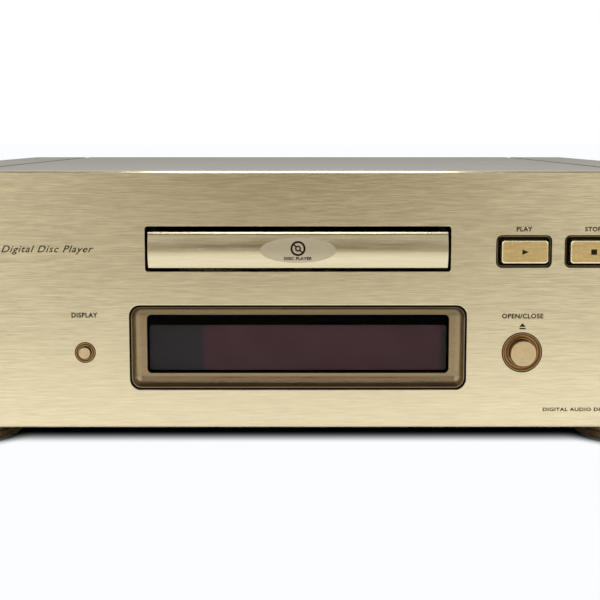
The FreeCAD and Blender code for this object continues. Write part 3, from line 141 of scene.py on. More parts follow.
def combine(piece, operation, *others):
    """Cuts the others from a piece, joins them to it, or keeps what they share with it."""
    for other in others:
        step = piece.modifiers.new("step", "BOOLEAN")
        step.operation = operation
        step.solver = "EXACT"
        step.object = other
        make_active(piece)
        bpy.ops.object.modifier_apply(modifier=step.name)
        bpy.data.objects.remove(other)
    return piece


def cut(piece, *cutters):
    return combine(piece, "DIFFERENCE", *cutters)


def ease(piece, size, segments=2, angle=40):
    """Breaks a piece's sharp edges and smooths its curved faces."""
    step = piece.modifiers.new("step", "BEVEL")
    step.width = size
    step.segments = segments
    step.limit_method = "ANGLE"
    step.angle_limit = math.radians(angle)
    make_active(piece)
    bpy.ops.object.modifier_apply(modifier=step.name)
    smooth(piece)
    return piece


def smooth(piece, angle=32):
    """Smooths a piece's curved faces and keeps its flat ones flat."""
    make_active(piece)
    bpy.ops.object.shade_smooth_by_angle(angle=math.radians(angle))
    step = piece.modifiers.new("step", "WEIGHTED_NORMAL")
    step.keep_sharp = True
    bpy.ops.object.modifier_apply(modifier=step.name)
    return piece


def barrel(name, centre, radius, low, high, axis="y", sides=96):
    """A plain round bar along y, x or z. centre holds its other two coordinates."""
    a, b = centre
    middle = (low + high) / 2
    place = {"x": (middle, a, b), "y": (a, middle, b), "z": (a, b, middle)}[axis]
    turn = {"x": (0, math.pi / 2, 0), "y": (math.pi / 2, 0, 0), "z": (0, 0, 0)}[axis]
    deselect()
    bpy.ops.mesh.primitive_cylinder_add(
        vertices=sides, radius=radius, depth=high - low, location=place, rotation=turn)
    return made(name)


def give(tree, node, values):
    """Joins a node's sockets to other nodes' sockets, or sets their values."""
    for key, value in values.items():
        if isinstance(value, bpy.types.NodeSocket):
            tree.links.new(value, node.inputs[key])
        else:
            node.inputs[key].default_value = value
    return node


def add(tree, kind, values=None, **settings):
    """A new node with its settings and its sockets' values."""
    new = tree.nodes.new(kind)
    for key, value in settings.items():
        setattr(new, key, value)
    return give(tree, new, values or {})


def math_node(tree, operation, a, b=0.0):
    return add(tree, "ShaderNodeMath", {0: a, 1: b}, operation=operation).outputs[0]


def times(tree, a, b):
    return math_node(tree, "MULTIPLY", a, b)


def vector_node(tree, operation, a, b=(0, 0, 0)):
    return add(tree, "ShaderNodeVectorMath", {0: a, 1: b}, operation=operation).outputs


def spread(tree, value, low, high, start=0.0, end=1.0, ramp="LINEAR"):
    """A value taken from one range to another."""
    return add(tree, "ShaderNodeMapRange", {
        "Value": value, "From Min": start, "From Max": end, "To Min": low, "To Max": high},
        interpolation_type=ramp).outputs[0]


def rise(tree, value, start, end):
    """Nought at the start of a range and one at its end."""
    return spread(tree, value, 0.0, 1.0, start, end)


def mixed(tree, a, b, share=0.5):
    """Two masks mixed, the first by that share."""
    first = times(tree, a, share)
    return math_node(tree, "ADD", first, times(tree, b, 1 - share))


def place_on(tree):
    """A point's place on the object."""
    return add(tree, "ShaderNodeTexCoord").outputs["Object"]


def part_of(tree, vector, axis):
    return add(tree, "ShaderNodeSeparateXYZ", {0: vector}).outputs[axis]


def noise(tree, scale, detail=2.0, at=None, rough=0.5):
    """Soft noise with about that many grains to the metre."""
    at = place_on(tree) if at is None else at
    return add(tree, "ShaderNodeTexNoise", {
        "Vector": at, "Scale": scale, "Detail": detail, "Roughness": rough}).outputs[0]


def between(tree, factor, low, high, blend="MIX"):
    """A colour between two others, each given as a value or as a socket."""
    low, high = (c if isinstance(c, bpy.types.NodeSocket) else (*c, 1) for c in (low, high))
    return add(tree, "ShaderNodeMix", {0: factor, 6: low, 7: high},
               data_type="RGBA", blend_type=blend).outputs[2]


def two_tones(tree, mask, colour, contrast, start=0.35, end=0.65):
    """A colour that a mask makes darker and lighter by a share of itself."""
    dark = [c * (1 - contrast) for c in colour]
    light = [min(1.0, c * (1 + contrast)) for c in colour]
    return between(tree, rise(tree, mask, start, end), dark, light)


def relief(tree, height, depth, strength=0.5):
    """Fine relief of that depth in metres."""
    return add(tree, "ShaderNodeBump", {
        "Height": height, "Strength": strength, "Distance": depth}).outputs[0]


def new_group(name, inputs, outputs):
    """An empty shader node group: its tree, its input sockets and its output node."""
    tree = bpy.data.node_groups.new(name, "ShaderNodeTree")
    for label, kind, value in inputs:
        socket = tree.interface.new_socket(label, in_out="INPUT", socket_type=kind)
        socket.default_value = value
    for label, kind in outputs:
        tree.interface.new_socket(label, in_out="OUTPUT", socket_type=kind)
    return tree, tree.nodes.new("NodeGroupInput").outputs, tree.nodes.new("NodeGroupOutput")


def brushed_group():
    """Straight brushed lines, with the slow bands that a brushing belt leaves."""
    tree, given, out = new_group(
        "brushed_lines",
        [("Scale", "NodeSocketVector", (60, 60, 2000))],
        [("Lines", "NodeSocketFloat"), ("Bands", "NodeSocketFloat")])
    fine = vector_node(tree, "MULTIPLY", place_on(tree), given["Scale"])[0]
    slow = vector_node(tree, "MULTIPLY", fine, (0.22, 0.22, 0.25))[0]
    give(tree, out, {
        "Lines": noise(tree, 1.0, 4.0, fine, 0.65), "Bands": noise(tree, 1.0, 2.0, slow)})
    return tree


brushed_lines = brushed_group()


def use_group(tree, group, values):
    """Places a node group in a material with its own values."""
    return add(tree, "ShaderNodeGroup", values, node_tree=group).outputs


def new_material(name):
    """A material with one Principled shader: its tree and that shader."""
    material = bpy.data.materials.new(name)
    material.use_nodes = True
    tree = material.node_tree
    return material, tree, tree.nodes["Principled BSDF"]


def brushed_metal(name, colour, scale, rough=0.3, contrast=0.07, depth=0.00002, stretch=0.0):
    """Brushed and anodised aluminium. stretch spreads its shine across the brushed lines."""
    material, tree, shader = new_material(name)
    grain = use_group(tree, brushed_lines, {"Scale": scale})
    both = mixed(tree, grain["Lines"], grain["Bands"], 0.88)
    give(tree, shader, {
        "Base Color": two_tones(tree, both, colour, contrast, 0.36, 0.64),
        "Roughness": spread(tree, both, rough - 0.05, rough + 0.05, 0.3, 0.7),
        "Normal": relief(tree, grain["Lines"], depth),
        "Metallic": 1.0, "Anisotropic": stretch, "Anisotropic Rotation": 0.25})
    return material


def fit(piece, body, material):
    """Gives a finished piece its material and its body."""
    piece.data.materials.clear()
    piece.data.materials.append(material)
    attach(piece, body)
    return piece


def middle_of(node):
    """The middle of a CAD node's box."""
    low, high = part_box(node)
    return (low + high) / 2


def grown(size):
    """A step by that size across and upwards."""
    return Vector((size, 0, size))


panel_corner = 1.2 * mm
panel_bevel = 0.7 * mm
mouth_bevel = 0.22 * mm
display_bevel = 0.45 * mm
drawer_side_gap = 1.4 * mm
drawer_end_gap = 1.95 * mm
oblong_hole = Vector((13.0, 0, 7.6)) * mm
oblong_hole_radius = 2.6 * mm
large_hole = 9.5 * mm
small_hole = 4.9 * mm
mouth_reach = Vector((15, 0, 11)) * mm

panel_low, panel_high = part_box("front_panel")
face = panel_low.y
cut_from, cut_to = face - 2 * mm, panel_high.y + 2 * mm
door_low, door_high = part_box("tray_door")
bezel_low, bezel_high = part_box("display_bezel")
bezel_gap = grown(0.15 * mm)
oblong_keys = ("play_key", "stop_key", "pause_key")
large_buttons = ("open_close_button", "power_button")
small_buttons = ("display_button", "skip_back_button", "skip_forward_button")

panel = rounded_block("panel", panel_low, panel_high, panel_corner, 4)
bevel_edges(panel, panel_bevel, 1, at_depth(face))


def through(low, high, radius, segments=8):
    """A cutter right through the panel, between two corners seen from the front."""
    return rounded_block(
        "cutter", (low.x, cut_from, low.z), (high.x, cut_to, high.z), radius, segments)


drawer_gap = Vector((drawer_side_gap, 0, drawer_end_gap))
cutters = [
    through(door_low - drawer_gap, door_high + drawer_gap, 1.3 * mm, 5),
    through(bezel_low - bezel_gap, bezel_high + bezel_gap, 5 * mm, 12),
]
mouths = [(bezel_low, bezel_high, grown(2 * mm), display_bevel),
          (door_low, door_high, grown(4 * mm), mouth_bevel)]
for keys, radius in ((oblong_keys, None), (large_buttons, large_hole), (small_buttons, small_hole)):
    for key in keys:
        c = middle_of(key)
        mouths.append((c, c, mouth_reach, mouth_bevel))
        cutters.append(barrel("cutter", (c.x, c.z), radius, cut_from, cut_to) if radius
                       else through(c - oblong_hole, c + oblong_hole, oblong_hole_radius))
cut(panel, *cutters)
for low, high, margin, size in mouths:
    bevel_edges(panel, size, 2, at_depth(face, low - margin, high + margin))
smooth(panel)
fit(panel, "case", brushed_metal(
    "champagne_panel", (0.79, 0.72, 0.53), (110, 110, 2400), rough=0.22, contrast=0.13,
    depth=0.00003, stretch=0.8))
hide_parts("front_panel")

# ------------------------------------------------------------------ printed lettering
# Small words and signs, silk-screened on the panel in a dark brown ink. They say only what each
# control does, and what kind of machine this is.


def ink_material():
    """Screen-printed ink: nearly black, with a slight unevenness."""
    material, tree, shader = new_material("printed_ink")
    grain = noise(tree, 3000.0)
    give(tree, shader, {
        "Base Color": between(tree, grain, (0.006, 0.004, 0.003), (0.022, 0.014, 0.009)),
        "Roughness": spread(tree, grain, 0.55, 0.75), "Specular IOR Level": 0.1})
    return material


printed_ink = ink_material()
ink_thickness = 0.03 * mm


def lettering(name, words, centre, width, height, y, slant=0.0, facing=-1, body="case",
              weight=0.035):
    """Words of that width and capital height, standing just proud of the surface at y."""
    deselect()
    bpy.ops.object.text_add()
    text = bpy.context.object
    text.data.body = words
    text.data.shear = slant
    text.data.offset = weight
    text.data.space_character = 1.12
    text.data.resolution_u = 4
    bpy.ops.object.convert(target="MESH")
    piece = made(name)
    xs = [v.co.x for v in piece.data.vertices]
    capital = 0.70
    scale = Matrix.Diagonal((width / (max(xs) - min(xs)), height / capital, 1, 1))
    move = Matrix.Translation((-(max(xs) + min(xs)) / 2, -capital / 2, 0))
    turn = Matrix.Rotation(math.pi / 2, 4, "X")
    if facing > 0:
        turn = Matrix.Rotation(math.pi, 4, "Z") @ turn
    place = Matrix.Translation((centre[0], y + facing * ink_thickness, centre[1]))
    piece.data.transform(place @ turn @ scale @ move)
    return fit(piece, body, printed_ink)


def flat_shapes(name, outlines, centre, y):
    """Flat (x, z) polygons at that y, in millimetres about a centre."""
    deselect()
    bpy.ops.mesh.primitive_plane_add(size=1)
    piece = made(name)
    mesh = bmesh.new()
    for outline in outlines:
        mesh.faces.new([mesh.verts.new((centre[0] + a * mm, y, centre[1] + b * mm))
                        for a, b in outline])
    mesh.to_mesh(piece.data)
    mesh.free()
    return piece


def sign(name, outlines, centre, y, body="case"):
    """A small printed sign."""
    piece = flat_shapes(name, outlines, centre, y - ink_thickness)
    return fit(piece, body, printed_ink)


def bar(x0, z0, x1, z1):
    """An upright rectangle's outline."""
    return [(x0, z0), (x1, z0), (x1, z1), (x0, z1)]


play_x, stop_x, pause_x = (middle_of(key).x for key in oblong_keys)
open_x, power_x = (middle_of(key).x for key in large_buttons)
display_x, back_x, forward_x = (middle_of(key).x for key in small_buttons)
button_z = middle_of("open_close_button").z
key_word_z = middle_of("play_key").z + 10.5 * mm
button_word_z = button_z + 17.3 * mm
for name, words, x, z, width, height in (
        ("play_word", "PLAY", play_x, key_word_z, 7.4, 2.0),
        ("stop_word", "STOP", stop_x, key_word_z, 7.6, 2.0),
        ("pause_word", "PAUSE", pause_x, key_word_z, 9.6, 2.0),
        ("open_close_word", "OPEN/CLOSE", open_x, button_word_z, 19.4, 2.1),
        ("display_word", "DISPLAY", display_x, button_z + 17.8 * mm, 12.2, 2.2),
        ("power_word", "POWER", power_x, button_word_z, 10.2, 2.1),
        ("skip_word", "SKIP", (back_x + forward_x) / 2, button_word_z, 7.6, 2.1)):
    lettering(name, words, (x, z), width * mm, height * mm, face)
lettering("slogan_words", "Digital Disc Player", (-117.0 * mm, 99.0 * mm), 43.0 * mm, 3.2 * mm,
          face, slant=0.38, weight=0.008)
lettering("type_words", "DIGITAL AUDIO DISC PLAYER", (137.5 * mm, 22.6 * mm), 43.0 * mm, 1.6 * mm,
          face)
sign("eject_sign", [[(-1.55, -0.25), (1.55, -0.25), (0, 1.45)], bar(-1.45, -1.35, 1.45, -0.7)],
     (open_x, button_z + 12.4 * mm), face)
skip_sign_z = button_z + 8.2 * mm
sign("skip_back_sign", [[(1.1, -1.0), (1.1, 1.0), (-0.6, 0)], bar(-1.1, -1.0, -0.7, 1.0)],
     (back_x, skip_sign_z), face)
sign("skip_forward_sign", [[(-1.1, 1.0), (-1.1, -1.0), (0.6, 0)], bar(0.7, -1.0, 1.1, 1.0)],
     (forward_x, skip_sign_z), face)

# ------------------------------------------------------------------ drawer front and badge
# An extruded aluminium bar with a cylindrical crown, screwed to the drawer. A thin oval plate
# is let into it, etched with a plain drawing of a disc.
crown_rise = 2.8 * mm
door_trim = Vector((0.35, 0, 0.6)) * mm
end_chamfer = 0.4 * mm
door_chamfer = 0.2 * mm
top_flat = 0.34 * mm
badge_radius = Vector((17.7, 0, 5.9)) * mm
badge_proud = 0.08 * mm
mark_proud = 0.12 * mm

door_low.x += door_trim.x
door_high -= door_trim
door_middle = (door_low + door_high) / 2
half_door = (door_high.z - door_low.z) / 2
crown_radius = (half_door ** 2 + crown_rise ** 2) / (2 * crown_rise)


def crown_bar(name, proud, reach):
    """A round bar whose front is the door's crown, or stands proud of it."""
    centre = (door_low.y + crown_radius, door_middle.z)
    return barrel(name, centre, crown_radius + proud, -reach, reach, "x", 384)


door = block("drawer_front", door_low, door_high)
combine(door, "INTERSECT", crown_bar("crown", 0, 2 * door_high.x))
make_active(door)
bpy.ops.object.mode_set(mode="EDIT")
bpy.ops.mesh.select_all(action="SELECT")
edge_y = door_low.y + crown_rise
bpy.ops.mesh.bisect(plane_co=(0, edge_y, door_high.z - top_flat), plane_no=(0, -0.68, 0.73),
                    use_fill=True, clear_outer=True)
bpy.ops.object.mode_set(mode="OBJECT")
bevel_edges(door, end_chamfer, 1, lambda e: all(
    abs(v.co.x) > door_high.x - 1e-6 and v.co.y < edge_y - 1e-6 for v in e.verts))
ease(door, door_chamfer, 1, 50)
smooth(door, 8)
fit(door, "tray", brushed_metal(
    "champagne_door", (0.69, 0.635, 0.47), (50, 900, 900), rough=0.24, contrast=0.06,
    depth=0.000006))
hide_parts("tray_door")


def oval(name, radius_x, radius_z, y_low, y_high):
    """An oval plate facing the front."""
    piece = barrel(name, (0, 0), 1.0, y_low, y_high, sides=160)
    piece.data.transform(Matrix.Translation((0, 0, door_middle.z)) @ Matrix.Diagonal(
        (radius_x, 1, radius_z, 1)))
    return piece


badge = oval("badge", badge_radius.x, badge_radius.z, door_low.y - mm, door_low.y + 2.4 * mm)
combine(badge, "INTERSECT", crown_bar("crown", badge_proud, badge_radius.x + mm))
smooth(badge, 20)
fit(badge, "tray", brushed_metal(
    "satin_badge", (0.52, 0.475, 0.365), (400, 400, 2500), rough=0.5, contrast=0.04,
    depth=0.00001))
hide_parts("tray_badge")


def hoop(name, radius, line, y_low, y_high, z):
    """A flat hoop facing the front."""
    piece = barrel(name, (0, z), radius, y_low, y_high)
    return cut(piece, barrel("cutter", (0, z), radius - line, y_low - mm, y_high + mm))


mark_z = door_middle.z + 0.9 * mm
mark_span = (door_low.y - mm, door_low.y + 1.6 * mm)
mark = hoop("disc_mark", 3.5 * mm, 0.95 * mm, *mark_span, mark_z)
combine(mark, "UNION", hoop("hub", 1.4 * mm, 0.7 * mm, *mark_span, mark_z))
for turn in (0.75, 0.75 + math.pi):
    ray = block("ray", (1.2 * mm, mark_span[0], -0.35 * mm), (3.0 * mm, mark_span[1], 0.35 * mm))
    ray.data.transform(Matrix.Translation((0, 0, mark_z)) @ Matrix.Rotation(turn, 4, "Y"))
    combine(mark, "UNION", ray)
combine(mark, "INTERSECT", crown_bar("crown", mark_proud, badge_radius.x))
smooth(mark, 20)
fit(mark, "tray", printed_ink)
badge_words = lettering("badge_words", "DISC PLAYER", (0, door_middle.z - 3.75 * mm), 13.0 * mm,
                        1.35 * mm, door_low.y, body="tray", weight=0.05)
for vertex in badge_words.data.vertices:
    swell = math.sqrt((crown_radius + mark_proud) ** 2 - (vertex.co.z - door_middle.z) ** 2)
    vertex.co.y = door_low.y + crown_radius - swell

# ------------------------------------------------------------------ display
# A deep milled bezel whose walls run into a flat land in a cove; above the window its colour is
# darkened by painted shade. Behind it stand a smoked pane with a black printed edge, whose wide
# band along the top is painted shade, a tinted film and the fluorescent tube with its unlit
# figures.
bezel_shrink = 0.7 * mm
bezel_rim = 0.35 * mm
bezel_land = 2.0 * mm
cove = 4.0 * mm
window_overlap = 3.0 * mm
window_radius = 2.2 * mm
# Painted shade: the black mask reaches this far down from the window's top, much further than at
# its sides.
painted_shade_band_top = 5.6 * mm
mask_side = 0.7 * mm
film_red_from = (-46.5 * mm, -44.5 * mm)
film_red_to = (68 * mm, 70 * mm)

shrink = grown(bezel_shrink)
window_low, window_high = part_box("display_window")
overlap = grown(window_overlap)
sight_low, sight_high = window_low + overlap, window_high - overlap
bezel = rounded_block("bezel", bezel_low + shrink, bezel_high - shrink, 4.6 * mm, 12)
land = bezel_high.y - bezel_land
inset = grown(bezel_shrink + bezel_rim)
pocket_low = Vector((bezel_low.x, bezel_low.y - mm, bezel_low.z)) + inset
pocket_high = Vector((bezel_high.x, land, bezel_high.z)) - inset
pocket = rounded_block("cutter", pocket_low, pocket_high, 4.2 * mm, 12)
bevel_edges(pocket, cove, 10, at_depth(land))
sight = rounded_block("cutter", (sight_low.x, bezel_low.y - mm, sight_low.z),
                      (sight_high.x, bezel_high.y + mm, sight_high.z), window_radius, 8)
cut(bezel, pocket, sight)
ease(bezel, 0.1 * mm, 2, 50)
bezel_metal = brushed_metal("champagne_bezel", (0.33, 0.26, 0.165), (60, 900, 900), rough=0.3,
                            contrast=0.05, depth=0.00001)


def tint(material, mask, colour):
    """Multiplies a metal's colour by another where a mask made in its own node tree is one."""
    tree = material.node_tree
    shader = tree.nodes["Principled BSDF"]
    base = shader.inputs["Base Color"].links[0].from_socket
    give(tree, shader, {"Base Color": between(tree, mask(tree), base, colour, "MULTIPLY")})


def painted_shade_under_top_wall(tree):
    """One on the bezel's upper land below its top wall, where shade is painted into its colour."""
    height = part_of(tree, place_on(tree), "Z")
    return rise(tree, height, sight_high.z - mm, sight_high.z + 0.5 * mm)


# Painted shade: the bezel's colour is darkened above the top of the window.
tint(bezel_metal, painted_shade_under_top_wall, (0.60, 0.60, 0.58))
fit(bezel, "case", bezel_metal)
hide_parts("display_bezel")

gasket = rounded_block("display_gasket", bezel_low - bezel_gap * 0.9 + Vector((0, 0.9 * mm, 0)),
                       bezel_high + bezel_gap * 0.9 - Vector((0, 2 * mm, 0)), 5 * mm, 12)
cut(gasket, rounded_block("cutter", bezel_low + shrink - Vector((0, mm, 0)),
                          bezel_high - shrink + Vector((0, mm, 0)), 4.6 * mm, 12))


def smoked_pane():
    """Clear smoked acrylic with a faint haze."""
    material, tree, shader = new_material("smoked_pane")
    haze = noise(tree, 60.0, 4.0)
    give(tree, shader, {
        "Base Color": between(tree, haze, (0.42, 0.38, 0.39), (0.50, 0.46, 0.47)),
        "Roughness": spread(tree, haze, 0.02, 0.06), "Transmission Weight": 1.0, "IOR": 1.07})
    return material


window = rounded_block("window", window_low, window_high, window_radius, 8)
ease(window, 0.15 * mm)
fit(window, "case", smoked_pane())
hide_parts("display_window")


def grain_group():
    """The fine grain of paint and moulded plastic, with slow blotches."""
    tree, given, out = new_group(
        "fine_grain",
        [("Scale", "NodeSocketFloat", 1500.0)],
        [("Grain", "NodeSocketFloat"), ("Blotch", "NodeSocketFloat")])
    give(tree, out, {"Grain": noise(tree, given["Scale"], 3.0), "Blotch": noise(tree, 14.0, 4.0)})
    return tree


def dust_group():
    """Dust that settles on faces that look up."""
    tree, given, out = new_group(
        "settled_dust", [("Amount", "NodeSocketFloat", 0.2)], [("Dust", "NodeSocketFloat")])
    up = part_of(tree, add(tree, "ShaderNodeNewGeometry").outputs["Normal"], "Z")
    both = times(tree, rise(tree, noise(tree, 900.0, 5.0), 0.45, 0.75),
                 spread(tree, noise(tree, 22.0, 3.0), 0.3, 1.0, 0.35, 0.65))
    level = times(tree, both, rise(tree, up, 0.6, 0.95))
    give(tree, out, {"Dust": times(tree, given["Amount"], level)})
    return tree


fine_grain = grain_group()
settled_dust = dust_group()
dust_colour = (0.45, 0.42, 0.38)


def coated(name, colour, rough, scale=1500.0, depth=0.00003, dust=0.15, metallic=0.0, contrast=0.12,
           gloss=0.5):
    """Paint, plating or moulded plastic, with its grain, slow blotches and a little dust."""
    material, tree, shader = new_material(name)
    grain = use_group(tree, fine_grain, {"Scale": scale})
    settled = use_group(tree, settled_dust, {"Amount": dust})["Dust"]
    both = mixed(tree, grain["Grain"], grain["Blotch"])
    clean = spread(tree, both, rough - 0.06, rough + 0.06, 0.35, 0.65)
    give(tree, shader, {
        "Base Color": between(tree, settled, two_tones(tree, both, colour, contrast), dust_colour),
        "Roughness": math_node(tree, "ADD", clean, times(tree, settled, 0.4)),
        "Normal": relief(tree, grain["Grain"], depth, 0.6),
        "Metallic": metallic, "Specular IOR Level": gloss})
    return material


frame_black = coated("frame_black", (0.004, 0.003, 0.003), 0.5, 2200.0, 0.00001, 0.0, gloss=0.05)
ease(gasket, 0.03 * mm)
fit(gasket, "case", frame_black)

# The mask is a black printed edge; its wide band along the top is painted shade.
mask_ink_and_painted_shade = coated("mask_ink_and_painted_shade", (0.0008, 0.0008, 0.0012), 0.6, 2500.0, 0.00001, 0.0, gloss=0.05)
mask_low = Vector((window_low.x + mm, window_high.y + 0.03 * mm, window_low.z + mm))
mask_high = Vector((window_high.x - mm, window_high.y + 0.13 * mm, window_high.z - mm))
mask = rounded_block("window_mask", mask_low, mask_high, 1.5 * mm, 4)
cut(mask, rounded_block(
    "cutter", (sight_low.x + mask_side, mask_low.y - mm, sight_low.z + mask_side),
    (sight_high.x - mask_side, mask_high.y + mm, sight_high.z - painted_shade_band_top), 1.2 * mm, 5))
ease(mask, 0.02 * mm)
fit(mask, "case", mask_ink_and_painted_shade)


def film_material():
    """The tinted film: red-brown over the figures, neutral at both ends."""
    material, tree, shader = new_material("tinted_film")
    across = part_of(tree, place_on(tree), "X")
    haze = noise(tree, 40.0, 4.0)
    ends = times(tree, rise(tree, across, *film_red_from),
                 spread(tree, across, 1.0, 0.0, *film_red_to))
    red = times(tree, ends, spread(tree, haze, 0.75, 1.0))
    give(tree, shader, {
        "Base Color": between(tree, red, (0.165, 0.195, 0.225), (0.355, 0.215, 0.262)),
        "Roughness": spread(tree, haze, 0.3, 0.45), "Alpha": spread(tree, haze, 0.86, 0.92)})
    return material


film_low, film_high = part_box("display_filter")
film = block("tinted_film", film_low, film_high)
ease(film, 0.05 * mm)
fit(film, "case", film_material())
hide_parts("display_filter")

tube_low, tube_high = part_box("display_tube")
tip = 6.5 * mm
tube = block("tube", tube_low, (tube_high.x - tip, tube_high.y, tube_high.z))
bevel_edges(tube, 1.0 * mm, 3, along(0))
ease(tube, 0.3 * mm)
tip_place = ((tube_low.y + tube_high.y) / 2, (tube_low.z + 3 * tube_high.z) / 4)
exhaust = barrel("tip", tip_place, 1.6 * mm, tube_high.x - tip - mm, tube_high.x, "x", 32)
bevel_edges(exhaust, 1.2 * mm, 4, lambda e: all(v.co.x > tube_high.x - 0.01 * mm for v in e.verts))
combine(tube, "UNION", exhaust)
smooth(tube)
tube_glass = coated("tube_glass", (0.012, 0.013, 0.014), 0.12, 300.0, 0.000005, 0.0)
fit(tube, "case", tube_glass)
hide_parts("display_tube")

figure_count = 9
first_figure_x, figure_pitch = -36.0, 11.0
figure_width, figure_height = 5.6, 9.0
stroke = 0.8
stroke_gap = 0.2


def figure_strokes(x):
    """The seven strokes of one figure about (x, 0), in millimetres."""
    w, h, s = figure_width / 2, figure_height / 2, stroke
    end = stroke_gap + s / 2
    flat = [bar(x - w + s, row - s / 2, x + w - s, row + s / 2) for row in (-h, 0, h)]
    upright = [bar(side - s / 2, low + end, side + s / 2, high - end)
               for side in (x - w, x + w) for low, high in ((-h, 0), (0, h))]
    return flat + upright


strokes = [outline for n in range(figure_count)
           for outline in figure_strokes(first_figure_x + n * figure_pitch)]
figures = flat_shapes("unlit_figures", strokes, (0, (film_low.z + film_high.z) / 2 - 0.5 * mm),
                      tube_low.y - 0.02 * mm)
phosphor = coated("unlit_phosphor", (0.16, 0.17, 0.16), 0.7, 3000.0, 0.00001, 0.0)
fit(figures, "case", phosphor)

# ------------------------------------------------------------------ oblong keys
# Three aluminium caps with a rounded rim lightened by a painted highlight, each in a black moulded
# frame that carries a thin gold line, a painted highlight along its lip. Each cap has a flange
# behind that keeps it in, and a stem to its switch.
cap_half = Vector((10.8, 0, 5.3)) * mm
cap_radius = 1.5 * mm
cap_rim = 0.6 * mm
flange = 1.0 * mm
stem_radius = 2.0 * mm
frame_half = Vector((12.85, 0, 7.45)) * mm
frame_inset = 0.25 * mm
frame_floor = 1.3 * mm
line_width = 0.22 * mm
trim_margin = 0.42 * mm
frame_lip = 0.4 * mm
cap_gap = 0.5 * mm
surround_radius = oblong_hole_radius - 0.2 * mm
well_radius = oblong_hole_radius - 0.6 * mm

key_metal = brushed_metal("champagne_key", (0.77, 0.595, 0.30), (140, 2000, 2000), rough=0.27,
                          contrast=0.06, depth=0.00001)


def painted_rim_highlight(tree):
    """One where a face leans between the cap's front and its sides: the rim, where a highlight is
    painted.
    """
    normal = add(tree, "ShaderNodeNewGeometry").outputs["Normal"]
    front = math_node(tree, "ABSOLUTE", part_of(tree, normal, "Y"))
    return times(tree, spread(tree, front, 1.0, 0.0, 0.93, 0.99), rise(tree, front, 0.15, 0.35))


# Painted highlight: the caps' rims are lightened and cooled in colour.
tint(key_metal, painted_rim_highlight, (1.4, 1.7, 2.6))
# Painted highlight: a thin gold line where the frame's lip catches the light.
lip_highlight_metal = brushed_metal("painted_lip_highlight", (0.55, 0.44, 0.26), (300, 300, 300), 0.3, 0.04, 0.000005)
key_signs = {
    "play_key": [[(-1.35, -1.25), (1.7, 0), (-1.35, 1.25)]],
    "stop_key": [bar(-1.35, -1.25, 1.35, 1.25)],
    "pause_key": [bar(-1.3, -1.25, -0.45, 1.25), bar(0.45, -1.25, 1.3, 1.25)],
}
cap_back = panel_high.y - 0.8 * mm
floor = face + frame_floor
for key in oblong_keys:
    c = middle_of(key)
    low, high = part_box(key)
    cap = slab(key + "_cap", c, cap_half, low.y, cap_back, cap_radius, 6)
    bevel_edges(cap, cap_rim, 4, at_depth(low.y))
    rear = slab("flange", c, cap_half + grown(flange), cap_back, cap_back + mm, cap_radius, 4)
    stem = barrel("stem", (c.x, c.z), stem_radius, panel_high.y - mm, high.y, sides=32)
    combine(cap, "UNION", rear, stem)
    smooth(cap)
    fit(cap, key, key_metal)
    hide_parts(key)
    sign(key + "_sign", key_signs[key], (c.x, c.z), low.y, key)

    surround = slab(key + "_frame", c, frame_half, face + frame_inset, panel_high.y,
                    surround_radius)
    well = slab("cutter", c, frame_half - grown(frame_lip), face - mm, floor, well_radius)
    bore = slab("cutter", c, cap_half + grown(cap_gap), face - mm, panel_high.y + mm,
                cap_radius + cap_gap, 6)
    cut(surround, well, bore)
    ease(surround, 0.08 * mm)
    fit(surround, "case", frame_black)

    # The gold line is a painted highlight along the frame's lip.
    trim = slab(key + "_painted_lip_highlight", c, frame_half - grown(trim_margin), floor - 0.35 * mm,
                floor + 0.05 * mm, well_radius)
    cut(trim, slab("cutter", c, frame_half - grown(trim_margin + line_width), face - mm,
                   face + 3 * mm, well_radius - 0.3 * mm))
    ease(trim, 0.05 * mm)
    fit(trim, "case", lip_highlight_metal)
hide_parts("key_frames")

# ------------------------------------------------------------------ round buttons and their rings
# Each button is turned from aluminium bar, with a flat face and a rounded rim. The ring round it
# is turned too: a dished channel between two narrow lips.
button_rim = 0.4 * mm
ring_lip = 0.35 * mm
seal_depth = 0.35 * mm


def turned(name, centre, profile, facing, closed=False, sides=128):
    """A piece turned from a profile of (radius, height) points, its heights along facing."""
    deselect()
    radius, height = profile[0]
    bpy.ops.mesh.primitive_circle_add(vertices=sides, radius=radius, location=(0, 0, height))
    piece = made(name)
    bpy.ops.object.mode_set(mode="EDIT")
    bpy.ops.mesh.select_all(action="SELECT")
    if not closed:
        bpy.ops.mesh.edge_face_add()
    for next_radius, next_height in profile[1:]:
        if closed:
            bpy.ops.mesh.extrude_edges_move()
        else:
            bpy.ops.mesh.extrude_region_move()
        bpy.ops.transform.translate(value=(0, 0, next_height - height))
        grow = next_radius / radius
        bpy.ops.transform.resize(value=(grow, grow, 1), center_override=(0, 0, next_height))
        radius, height = next_radius, next_height
    bpy.ops.mesh.select_all(action="SELECT")
    bpy.ops.mesh.remove_doubles(threshold=1e-7)
    bpy.ops.mesh.normals_make_consistent(inside=False)
    bpy.ops.object.mode_set(mode="OBJECT")
    turn = Vector((0, 0, 1)).rotation_difference(Vector(facing)).to_matrix().to_4x4()
    piece.data.transform(Matrix.Translation(centre) @ turn)
    return smooth(piece)


